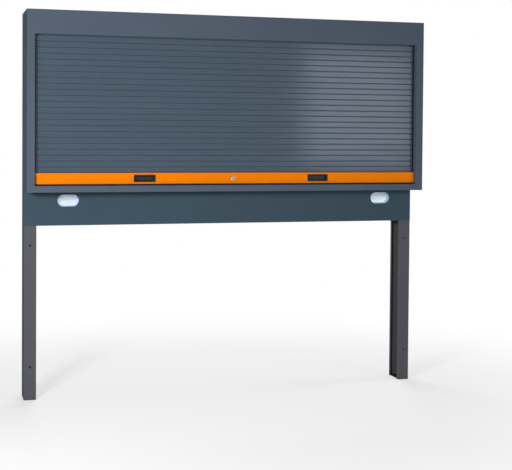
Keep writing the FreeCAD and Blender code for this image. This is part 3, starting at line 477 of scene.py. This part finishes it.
def milky_polypropylene(name, hex_colour):
    """Thin moulded polypropylene, milky and unpigmented.

    Light passes through its 2 mm wall, so the cups glow softly instead of filling with
    shadow.
    """
    material, tree, surface = new_material(
        name, {"Roughness": 0.5, "IOR": 1.49, "Subsurface Weight": 1.0,
               "Subsurface Radius": (1.0, 1.0, 1.0), "Subsurface Scale": 25 * MM,
               "Base Color": linear(hex_colour)})
    place = place_on_piece(tree)
    mottle(tree, surface, place, hex_colour, size_mm=40, amount=0.02)
    uneven_gloss(tree, surface, place, size_mm=12, low=0.45, high=0.55)
    relief(tree, surface, place, [(1.6, 0.02)])
    return material


def moulded_abs(name, hex_colour):
    """Injection-moulded ABS with a spark-eroded grain.

    The grain is about 0.3 mm in life, and is drawn 1.6 mm wide so that it shows.
    """
    material, tree, surface = new_material(
        name, {"Roughness": 0.48, "IOR": 1.53, "Specular IOR Level": 0.25,
               "Base Color": linear(hex_colour)})
    place = place_on_piece(tree)
    mottle(tree, surface, place, hex_colour, size_mm=40, amount=0.03)
    uneven_gloss(tree, surface, place, size_mm=12, low=0.43, high=0.53)
    relief(tree, surface, place, [(1.6, 0.03)])
    return material


def epdm_rubber(name, hex_colour):
    """Extruded EPDM: dull, slightly dusty black."""
    material, tree, surface = new_material(
        name, {"Roughness": 0.8, "IOR": 1.5, "Base Color": linear(hex_colour)})
    place = place_on_piece(tree, stretch=(8.0, 1.0, 1.0))
    mottle(tree, surface, place, hex_colour, size_mm=20, amount=0.2)
    uneven_gloss(tree, surface, place, size_mm=15, low=0.74, high=0.86)
    relief(tree, surface, place, [(3, 0.02)])
    return material


def mill_finish_aluminium(name, hex_colour):
    """Extruded aluminium as it leaves the die: fine lines along its length."""
    material, tree, surface = new_material(
        name, {"Roughness": 0.38, "Metallic": 1.0, "Base Color": linear(hex_colour)})
    place = place_on_piece(tree, stretch=(1.0, 1.0, 30.0))
    mottle(tree, surface, place, hex_colour, size_mm=3, amount=0.08)
    uneven_gloss(tree, surface, place, size_mm=4, low=0.32, high=0.44)
    relief(tree, surface, place, [(1.5, 0.01)])
    return material


def anodised_aluminium(name, hex_colour):
    """Extruded aluminium, dyed black and sealed: a dark, dry satin with a hint of metal."""
    material, tree, surface = new_material(
        name, {"Roughness": 0.5, "Metallic": 0.4, "Base Color": linear(hex_colour)})
    place = place_on_piece(tree, stretch=(1.0, 1.0, 30.0))
    mottle(tree, surface, place, hex_colour, size_mm=3, amount=0.1)
    uneven_gloss(tree, surface, place, size_mm=4, low=0.45, high=0.56)
    relief(tree, surface, place, [(1.5, 0.006)])
    return material


def zinc_plated_steel(name, hex_colour):
    """Electroplated steel: a cloudy, bluish silver."""
    material, tree, surface = new_material(
        name, {"Roughness": 0.36, "Metallic": 1.0, "Base Color": linear(hex_colour)})
    place = place_on_piece(tree)
    mottle(tree, surface, place, hex_colour, size_mm=25, amount=0.12)
    uneven_gloss(tree, surface, place, size_mm=18, low=0.28, high=0.42)
    relief(tree, surface, place, [(4, 0.01)])
    return material


def nickel_plated_brass(name, hex_colour):
    """Turned brass under bright nickel: turning marks round the lock's axis."""
    material, tree, surface = new_material(
        name, {"Roughness": 0.24, "Metallic": 1.0, "Base Color": linear(hex_colour)})
    place = place_on_piece(tree)
    mottle(tree, surface, place, hex_colour, size_mm=6, amount=0.05)
    uneven_gloss(tree, surface, place, size_mm=5, low=0.18, high=0.3)
    relief(tree, surface, place, [(1.2, 0.006)])
    return material


def woven_webbing(name, hex_colour):
    """Polyester webbing, with ribs across the strap about 5 mm apart.

    A band texture turns through 20 radians to its unit, so it repeats every pi / 10 units.
    """
    material, tree, surface = new_material(
        name, {"Roughness": 0.85, "Base Color": linear(hex_colour)})
    place = place_on_piece(tree)
    mottle(tree, surface, place, hex_colour, size_mm=8, amount=0.15)
    ribs = add_node(tree, "ShaderNodeTexWave",
                    settings={"wave_type": "BANDS", "bands_direction": "Z"},
                    values={"Scale": math.pi / 10 * per_metre(4.9348), "Distortion": 0.4},
                    links={"Vector": place})
    bump = add_node(tree, "ShaderNodeBump", values={"Distance": 0.2 * MM},
                    links={"Height": ribs.outputs["Fac"]})
    tree.links.new(bump.outputs["Normal"], surface.inputs["Normal"])
    return material


def seen_rays(tree):
    """1 for rays from the camera and for mirrored or transmitted ones, and 0 for the rest."""
    rays = add_node(tree, "ShaderNodeLightPath")
    seen = rays.outputs["Is Camera Ray"]
    for kind in ("Is Glossy Ray", "Is Transmission Ray"):
        either = add_node(tree, "ShaderNodeMath", settings={"operation": "MAXIMUM"},
                          links={0: seen, 1: rays.outputs[kind]})
        seen = either.outputs["Value"]
    return seen


def studio_white(name, hex_colour):
    """A pale floor that keeps shadows near the cabinet and is plain white far away.

    Camera, glossy and transmission rays see a share of plain white that grows from the near
    to the far distance, in metres, so the floor has no edge and no horizon.
    """
    near, far = 0.9, 2.2
    near_share = 0.55
    material = bpy.data.materials.new(name)
    material.use_nodes = True
    tree = material.node_tree
    tree.nodes.clear()
    coordinates = add_node(tree, "ShaderNodeTexCoord")
    distance = add_node(tree, "ShaderNodeVectorMath", settings={"operation": "LENGTH"},
                        links={0: coordinates.outputs["Object"]})
    growing = add_node(tree, "ShaderNodeMapRange",
                       settings={"interpolation_type": "SMOOTHSTEP"},
                       values={"From Min": near, "From Max": far,
                               "To Min": near_share, "To Max": 1.0},
                       links={"Value": distance.outputs["Value"]})
    share = add_node(tree, "ShaderNodeMath", settings={"operation": "MULTIPLY"},
                     links={0: seen_rays(tree), 1: growing.outputs["Result"]})
    matte = add_node(tree, "ShaderNodeBsdfDiffuse", values={"Color": linear(hex_colour)})
    white = add_node(tree, "ShaderNodeEmission", values={"Strength": 1.0})
    mix = add_node(tree, "ShaderNodeMixShader",
                   links={"Fac": share.outputs["Value"], 1: matte.outputs["BSDF"],
                          2: white.outputs["Emission"]})
    add_node(tree, "ShaderNodeOutputMaterial", links={"Surface": mix.outputs["Shader"]})
    return material


# The finish of each material slot: its maker, its name and the setting with its colour.
# The rear panel's paint and the webbing are finishes of one node each; the others are the
# record's slots. The rear panel's paint is the frame's powder coat drawn darker and bluer:
# painted shade from the cabinet above it.
FINISHES = {
    "frame_paint": (powder_coated_steel, "powder_coated_frame", "frame_paint"),
    "slat_paint": (coil_coated_slat, "coil_coated_slats", "slat_paint"),
    "bar_paint": (lacquered_bar, "lacquered_orange_bar", "bar_paint"),
    "shaded_band_paint": (powder_coated_steel, "powder_coated_band", "shaded_band_paint"),
    "upright_paint": (powder_coated_steel, "powder_coated_uprights", "upright_paint"),
    "panel_paint": (powder_coated_steel, "powder_coated_tool_panel", "panel_paint"),
    "pale_plastic": (milky_polypropylene, "milky_polypropylene", "pale_plastic"),
    "black_plastic": (moulded_abs, "black_moulded_abs", "black_plastic"),
    "black_rubber": (epdm_rubber, "epdm_rubber", "rubber"),
    "guide_aluminium": (mill_finish_aluminium, "mill_finish_aluminium", "aluminium"),
    "guide_black": (anodised_aluminium, "black_anodised_aluminium", "anodising"),
    "zinc_steel": (zinc_plated_steel, "zinc_plated_steel", "zinc"),
    "lock_chrome": (nickel_plated_brass, "nickel_plated_brass", "nickel"),
    "webbing": (woven_webbing, "polyester_webbing", "webbing"),
}


def finish(slot):
    """The material of a slot, made the first time it is asked for."""
    maker, name, colour = FINISHES[slot]
    made = bpy.data.materials.get(name)
    return made or maker(name, getattr(bpy.context.scene.cabinet_colours, colour))


# ---------------------------------------------------------------- pieces

def slat_profile(low_corner, high_corner, sizes, front_steps=21):
    """The closed outline (y, z) of one slat, from the box of its node.

    With t from -1 to 1 up the face and half height H, the face stands back by
    crown * t^2, and within one edge radius r of either end also by
    r - sqrt(r^2 - (|t| H - (H - r))^2). Behind it follow the shoulder, the hook on its
    neck, the back, and the open socket in the underside.
    """
    front = low_corner[1]
    back = high_corner[1]
    bottom = low_corner[2]
    hook_height = 1.2 * MM
    neck_top = high_corner[2] - hook_height
    shoulder = neck_top - sizes.slat_skin - sizes.slat_groove
    radius = sizes.slat_edge
    half = (shoulder - bottom) / 2
    t = np.sin(np.linspace(-math.pi / 2, math.pi / 2, front_steps))
    over = np.clip(np.abs(t) * half - (half - radius), 0.0, radius)
    setback = sizes.slat_crown * t ** 2 + radius - np.sqrt(radius ** 2 - over ** 2)
    face = np.stack([front + setback, bottom + half * (1.0 + t)], axis=1)
    middle = (front + back) / 2
    # Half widths of the hook and its neck, and of the socket and its mouth.
    neck, hook = 0.6 * MM, 1.4 * MM
    mouth, socket = 1.0 * MM, 1.8 * MM
    lip_relief = 0.3 * MM
    socket_height = 1.8 * MM
    lip = bottom + sizes.slat_skin - lip_relief
    ceiling = lip + socket_height
    rest = np.array([
        (middle - neck, shoulder), (middle - neck, neck_top), (middle - hook, neck_top),
        (middle - hook, high_corner[2]), (middle + hook, high_corner[2]),
        (middle + hook, neck_top), (middle + neck, neck_top), (middle + neck, shoulder),
        (back, shoulder), (back, bottom), (middle + mouth, bottom), (middle + mouth, lip),
        (middle + socket, lip), (middle + socket, ceiling), (middle - socket, ceiling),
        (middle - socket, lip), (middle - mouth, lip), (middle - mouth, bottom)])
    return np.concatenate([face, rest])


class CABINET_OT_slats(bpy.types.Operator):
    """Rolls the shutter's slats"""

    bl_idname = "cabinet.slats"
    bl_label = "Shutter slats"

    def execute(self, context):
        sizes = context.scene.cabinet_sizes
        for node in SLATS:
            low_corner, high_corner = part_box(node)
            profile = slat_profile(low_corner, high_corner, sizes)
            grid = profile_along_x(profile, low_corner[0], high_corner[0])
            piece = make_piece(f"shutter_{node}", [grid], sharp_angle=50.0)
            finish_piece(piece, "slat_paint", "cabinet", node)
            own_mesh(piece)
        return {"FINISHED"}


def tuft(root_x, tip_x, y, z, root, tip):
    """A tuft that fans out: a rectangle of half sizes root, carried along X to one of tip.

    Corner j of section i is (x_i, y + sy_j half_y_i, z + sz_j half_z_i), with the signs sy
    and sz of that corner.
    """
    corners = np.array([(-1.0, -1.0), (1.0, -1.0), (1.0, 1.0), (-1.0, 1.0)])
    sections = np.array([root, tip])
    points = np.empty((len(sections), len(corners), 3))
    points[:, :, 0] = np.array([root_x, tip_x])[:, None]
    points[:, :, 1] = y + corners[None, :, 0] * sections[:, None, 0]
    points[:, :, 2] = z + corners[None, :, 1] * sections[:, None, 1]
    return points


class CABINET_OT_brushes(bpy.types.Operator):
    """Plants the tufts of the two brush strips that lean on the slats"""

    bl_idname = "cabinet.brushes"
    bl_label = "Guide brushes"

    def execute(self, context):
        sizes = context.scene.cabinet_sizes
        low_corner, high_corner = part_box("guide_brushes")
        count = int((high_corner[2] - low_corner[2]) / sizes.bristle_pitch)
        levels = low_corner[2] + (np.arange(count) + 0.5) * sizes.bristle_pitch
        reach = 6.0 * MM
        root = (0.35 * MM, 0.9 * MM)
        tip = (0.2 * MM, 1.4 * MM)
        middle = (low_corner[1] + high_corner[1]) / 2
        grids = [tuft(outer, outer + inwards * reach, middle, level, root, tip)
                 for outer, inwards in ((low_corner[0], 1.0), (high_corner[0], -1.0))
                 for level in levels]
        piece = make_piece("brush_strips", grids)
        finish_piece(piece, "black_plastic", "cabinet", "guide_brushes")
        return {"FINISHED"}


def cup_stations(half_width, half_height, corner, wall, rim, lip, front, floor):
    """Stations of a moulded cup, from the middle of its floor round its rim to its back.

    The inside runs out of the floor through a fillet, up the wall and over a small round to
    the flange, which is lip thick. The outside runs back along the case. corner is the
    radius of the flange's corners. Each inner ring keeps its distance from them, down to
    the tightest radius.
    """
    tightest = 0.35 * corner

    def ring(inset, depth):
        radius = max(corner - inset, tightest)
        return (half_width - inset, half_height - inset, radius, depth)

    inner = rim + wall
    fillet = 2.5 * MM
    edge = 0.5 * MM
    edge_round = quarter_round(edge)
    inside = [ring(inner + across, floor - fillet + along)
              for across, along in quarter_round(fillet)]
    mouth = [ring(inner - edge + across, front + edge - along)
             for across, along in edge_round]
    flange = [ring(edge - across, front + edge - along)
              for across, along in edge_round[::-1]]
    outside = [ring(0.0, front + lip), ring(rim, front + lip), ring(rim, floor + wall)]
    return inside[::-1] + mouth + flange + outside


class CABINET_OT_finger_cups(bpy.types.Operator):
    """Moulds the two finger cups of the bottom bar"""

    bl_idname = "cabinet.finger_cups"
    bl_label = "Finger cups"

    def execute(self, context):
        sizes = context.scene.cabinet_sizes
        bar_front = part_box("bottom_bar")[0][1]
        for side in ("left", "right"):
            node = f"handle_cup_{side}"
            low_corner, high_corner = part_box(node)
            centre = box_middle(low_corner, high_corner)
            stations = cup_stations(
                (high_corner[0] - low_corner[0]) / 2, (high_corner[2] - low_corner[2]) / 2,
                sizes.cup_corner, sizes.cup_wall, sizes.cup_rim, bar_front - low_corner[1],
                low_corner[1], high_corner[1] - sizes.cup_wall)
            piece = make_piece(f"finger_cup_{side}", [rounded_rings(centre, stations)])
            finish_piece(piece, "black_plastic", "shutter_bar", node)
        return {"FINISHED"}


class CABINET_OT_port_cups(bpy.types.Operator):
    """Moulds the pale cups behind the two cable ports"""

    bl_idname = "cabinet.port_cups"
    bl_label = "Cable port cups"

    def execute(self, context):
        sizes = context.scene.cabinet_sizes
        low_corner, high_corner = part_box("cable_port_cups")
        half_height = (high_corner[2] - low_corner[2]) / 2
        across = mesh_points("cable_port_cups")[:, 0]
        half_width = (across[across < 0].max() - low_corner[0]) / 2
        level = (high_corner[2] + low_corner[2]) / 2
        grids = []
        for place in (low_corner[0] + half_width, high_corner[0] - half_width):
            stations = cup_stations(
                half_width, half_height, half_height, sizes.port_wall,
                sizes.port_rim - sizes.port_wall, sizes.port_wall, low_corner[1],
                high_corner[1] - sizes.port_wall)
            grids.append(rounded_rings((place, 0.0, level), stations, steps=16))
        piece = make_piece("port_cups", grids)
        finish_piece(piece, "pale_plastic", "cabinet", "cable_port_cups")
        return {"FINISHED"}


class CABINET_OT_lock_face(bpy.types.Operator):
    """Turns the lock's rosette with its housing"""

    bl_idname = "cabinet.lock_face"
    bl_label = "Lock face"

    def execute(self, context):
        low_corner, high_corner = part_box("lock_housing")
        front = low_corner[1]
        back = high_corner[1]
        bar_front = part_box("bottom_bar")[0][1]
        outer = (high_corner[0] - low_corner[0]) / 2
        bore = 5.55 * MM
        bore_chamfer = 0.5 * MM
        case = 8.0 * MM
        dish = 0.4 * MM
        ring_foot, ring_inside = outer - 2.2 * MM, outer - 1.6 * MM
        ring_outside, edge_start = outer - 0.8 * MM, outer - 0.2 * MM
        edge_drop, edge_end = 0.3 * MM, 0.8 * MM
        # From the bore over the dished face and its raised ring to the case behind the bar.
        outline = [(bore, back), (bore, front + dish), (bore + bore_chamfer, front + dish / 2),
                   (ring_foot, front + dish / 2), (ring_inside, front), (ring_outside, front),
                   (edge_start, front + edge_drop), (outer, front + edge_end),
                   (outer, bar_front), (case, bar_front), (case, back)]
        grid = turned_rings(box_middle(low_corner, high_corner), outline, steps=17)
        piece = make_piece("lock_rosette", [grid], closed=True)
        finish_piece(piece, "lock_chrome", "shutter_bar", "lock_housing")
        return {"FINISHED"}


def seal_profile(low_corner, high_corner, bulb_steps=25):
    """The closed outline (y, z) of the bulb seal, from the box of its node.

    With the angle a from pi to 2 pi, half width W and bulb height B, the bulb is
    y = middle + W cos a, z = bottom + B (1 + sin a). The foot closes it at the top.
    """
    middle = (low_corner[1] + high_corner[1]) / 2
    half = (high_corner[1] - low_corner[1]) / 2
    bulb_share = 0.75
    bulb_height = bulb_share * (high_corner[2] - low_corner[2])
    angle = np.linspace(math.pi, 2 * math.pi, bulb_steps)
    bulb = np.stack([middle + half * np.cos(angle),
                     low_corner[2] + bulb_height * (1.0 + np.sin(angle))], axis=1)
    foot = np.array([(middle + half, high_corner[2]), (middle - half, high_corner[2])])
    return np.concatenate([bulb, foot])


class CABINET_OT_seal(bpy.types.Operator):
    """Extrudes the bulb seal under the bottom bar"""

    bl_idname = "cabinet.seal"
    bl_label = "Bottom seal"

    def execute(self, context):
        low_corner, high_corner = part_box("bottom_seal")
        profile = seal_profile(low_corner, high_corner)
        grid = profile_along_x(profile, low_corner[0], high_corner[0])
        piece = make_piece("bulb_seal", [grid])
        finish_piece(piece, "black_rubber", "shutter_bar", "bottom_seal")
        return {"FINISHED"}


class CABINET_OT_screws(bpy.types.Operator):
    """Turns the pan heads and shanks of the cabinet screws"""

    bl_idname = "cabinet.screws"
    bl_label = "Cabinet screws"

    def execute(self, context):
        low_corner, high_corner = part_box("cabinet_screws")
        rows = 4
        head, head_height = 5.0 * MM, 4.0 * MM
        socket, hair = 2.4 * MM, 0.02 * MM
        socket_depth, cone_depth = 1.8 * MM, 2.0 * MM
        socket_chamfer, chamfer_depth = 0.3 * MM, 0.1 * MM
        shank = 3.0 * MM
        point_width, point_length = 0.8 * MM, 1.0 * MM
        # The dome's points: millimetres inside the head's edge, and behind its crown.
        dome = [(1.6, 0.3), (0.5, 1.3), (0.0, 2.6)]
        front = low_corner[1]
        tip = high_corner[1]
        # From the socket's floor, a hair off the axis, over the domed head to the tip.
        outline = [(hair, front + cone_depth), (socket, front + socket_depth),
                   (socket, front + chamfer_depth), (socket + socket_chamfer, front),
                   *[(head - inset * MM, front + drop * MM) for inset, drop in dome],
                   (head, front + head_height), (shank, front + head_height),
                   (shank, tip - point_length), (shank - point_width, tip)]
        levels = np.linspace(low_corner[2] + head, high_corner[2] - head, rows)
        places = (low_corner[0] + head, high_corner[0] - head)
        grids = [turned_rings((x, 0.0, z), outline, steps=6) for x in places for z in levels]
        piece = make_piece("pan_head_screws", grids)
        finish_piece(piece, "zinc_steel", "cabinet", "cabinet_screws")
        return {"FINISHED"}


class CABINET_OT_finishes(bpy.types.Operator):
    """Gives every node that still shows the finish of its material slot"""

    bl_idname = "cabinet.finishes"
    bl_label = "Finishes of the frame"

    def execute(self, context):
        slots = {item["node"]: item["material_slot"] for item in frame["record"]["subparts"]}
        # The rear panel gets the frame's powder coat with painted shade from the cabinet
        # above.
        slots["rear_panel"] = "shaded_band_paint"
        slots["curtain_straps"] = "webbing"
        for name, node in frame["nodes"].items():
            if not node.hide_render:
                node.data.materials.clear()
                node.data.materials.append(finish(slots[name]))
        return {"FINISHED"}


# ---------------------------------------------------------------- studio

# Each lamp: its name, the setting with its power, its place, its target, width and height.
LAMPS = (
    ("key_lamp", "key_power", (-1.9, -2.5, 0.91), (0.0, 0.0, 0.85), 0.5, 0.38),
    ("fill_lamp", "fill_power", (2.3, -2.4, 0.7), (0.6, 0.0, 0.8), 0.4, 0.4),
    ("sheen_lamp", "sheen_power", (1.71, -3.1, 0.9), (0.5, 0.0, 0.9), 0.76, 0.81),
    ("bounce_card", "bounce_power", (0.0, -0.6, 0.3), (0.0, -0.2, 1.1), 1.7, 0.5),
    ("back_lamp", "back_power", (0.4, 3.4, 2.2), (0.0, 0.1, 0.6), 2.4, 1.8),
    ("side_lamp", "side_power", (3.4, 0.2, 1.3), (0.85, 0.0, 0.7), 1.0, 1.0),
)


def area_lamp(name, place, target, width, height, power):
    """A rectangular lamp at a place, turned to a target."""
    lamp = bpy.data.lights.new(name, "AREA")
    lamp.shape = "RECTANGLE"
    lamp.size = width
    lamp.size_y = height
    lamp.energy = power
    holder = bpy.data.objects.new(name, lamp)
    way = Vector(target) - Vector(place)
    holder.location = place
    holder.rotation_euler = way.to_track_quat("-Z", "Y").to_euler()
    holder.visible_camera = False
    bpy.context.scene.collection.objects.link(holder)
    return lamp


def camera_turn(yaw, pitch, roll):
    """The camera's turn: its way forward from yaw and pitch, then roll about that way."""
    forward = Vector((math.sin(yaw) * math.cos(pitch), math.cos(yaw) * math.cos(pitch),
                      math.sin(pitch)))
    right = Vector((math.cos(yaw), -math.sin(yaw), 0.0))
    up = right.cross(forward)
    rolled_right = right * math.cos(roll) + up * math.sin(roll)
    rolled_up = up * math.cos(roll) - right * math.sin(roll)
    return Matrix((rolled_right, rolled_up, -forward)).transposed().to_4x4()


class CABINET_OT_studio(bpy.types.Operator):
    """Sets up the floor, the room's light, the lamps and the camera"""

    bl_idname = "cabinet.studio"
    bl_label = "Studio"

    def execute(self, context):
        scene = context.scene
        studio = scene.cabinet_studio
        ground = CAD_BOX[0][2]
        reach = studio.floor_reach
        mesh = bpy.data.meshes.new("studio_floor")
        corners = [(-reach, -reach, ground), (reach, -reach, ground),
                   (reach, reach, ground), (-reach, reach, ground)]
        mesh.from_pydata(corners, [], [(0, 1, 2, 3)])
        floor = bpy.data.objects.new("studio_floor", mesh)
        mesh.materials.append(studio_white("studio_white", scene.cabinet_colours.floor))
        scene.collection.objects.link(floor)

        self.light_room(scene, studio.room_strength)
        lamps = {name: area_lamp(name, place, target, width, height, getattr(studio, power))
                 for name, power, place, target, width, height in LAMPS}
        lamps["sheen_lamp"].color = studio.sheen_colour

        data = bpy.data.cameras.new("camera")
        data.sensor_width = SENSOR_WIDTH
        data.sensor_fit = "HORIZONTAL"
        data.lens = studio.camera_lens
        data.shift_y = studio.camera_shift
        data.clip_end = 100.0
        camera = bpy.data.objects.new("camera", data)
        turn = camera_turn(studio.camera_yaw, studio.camera_pitch, studio.camera_roll)
        camera.matrix_world = Matrix.Translation(studio.camera_place) @ turn
        scene.collection.objects.link(camera)
        scene.camera = camera
        scene.view_settings.view_transform = "Standard"
        return {"FINISHED"}

    def light_room(self, scene, strength):
        """White where it is seen, mirrored or looked through, and an even light elsewhere."""
        world = bpy.data.worlds.new("studio_room")
        world.use_nodes = True
        tree = world.node_tree
        tree.nodes.clear()
        level = add_node(tree, "ShaderNodeMapRange",
                         values={"To Min": strength, "To Max": 1.0},
                         links={"Value": seen_rays(tree)})
        room = add_node(tree, "ShaderNodeBackground", values={"Color": (1, 1, 1, 1)},
                        links={"Strength": level.outputs["Result"]})
        add_node(tree, "ShaderNodeOutputWorld", links={"Surface": room.outputs["Background"]})
        scene.world = world


# ---------------------------------------------------------------- add-on

class CABINET_PT_workshop(bpy.types.Panel):
    """Lists the pieces of the cabinet, and the settings that they are made from"""

    bl_idname = "CABINET_PT_workshop"
    bl_label = "Roll Front Tool Cabinet"
    bl_space_type = "VIEW_3D"
    bl_region_type = "UI"
    bl_category = "Cabinet"

    def draw(self, context):
        layout = self.layout
        for operator in OPERATORS:
            layout.operator(operator.bl_idname)
        for group in (context.scene.cabinet_sizes, context.scene.cabinet_colours,
                      context.scene.cabinet_studio):
            box = layout.box()
            for name in group.__annotations__:
                box.prop(group, name)


OPERATORS = (
    CABINET_OT_slats,
    CABINET_OT_brushes,
    CABINET_OT_finger_cups,
    CABINET_OT_port_cups,
    CABINET_OT_lock_face,
    CABINET_OT_seal,
    CABINET_OT_screws,
    CABINET_OT_finishes,
    CABINET_OT_studio,
)
CLASSES = (CabinetSizes, CabinetColours, CabinetStudio, *OPERATORS, CABINET_PT_workshop)


def register():
    for item in CLASSES:
        bpy.utils.register_class(item)
    bpy.types.Scene.cabinet_sizes = PointerProperty(type=CabinetSizes)
    bpy.types.Scene.cabinet_colours = PointerProperty(type=CabinetColours)
    bpy.types.Scene.cabinet_studio = PointerProperty(type=CabinetStudio)


def unregister():
    del bpy.types.Scene.cabinet_studio
    del bpy.types.Scene.cabinet_colours
    del bpy.types.Scene.cabinet_sizes
    for item in reversed(CLASSES):
        bpy.utils.unregister_class(item)


def main():
    """Builds every piece and the studio."""
    register()
    bpy.ops.cabinet.slats()
    bpy.ops.cabinet.brushes()
    bpy.ops.cabinet.finger_cups()
    bpy.ops.cabinet.port_cups()
    bpy.ops.cabinet.lock_face()
    bpy.ops.cabinet.seal()
    bpy.ops.cabinet.screws()
    bpy.ops.cabinet.finishes()
    bpy.ops.cabinet.studio()


if __name__ == "__main__":
    main()
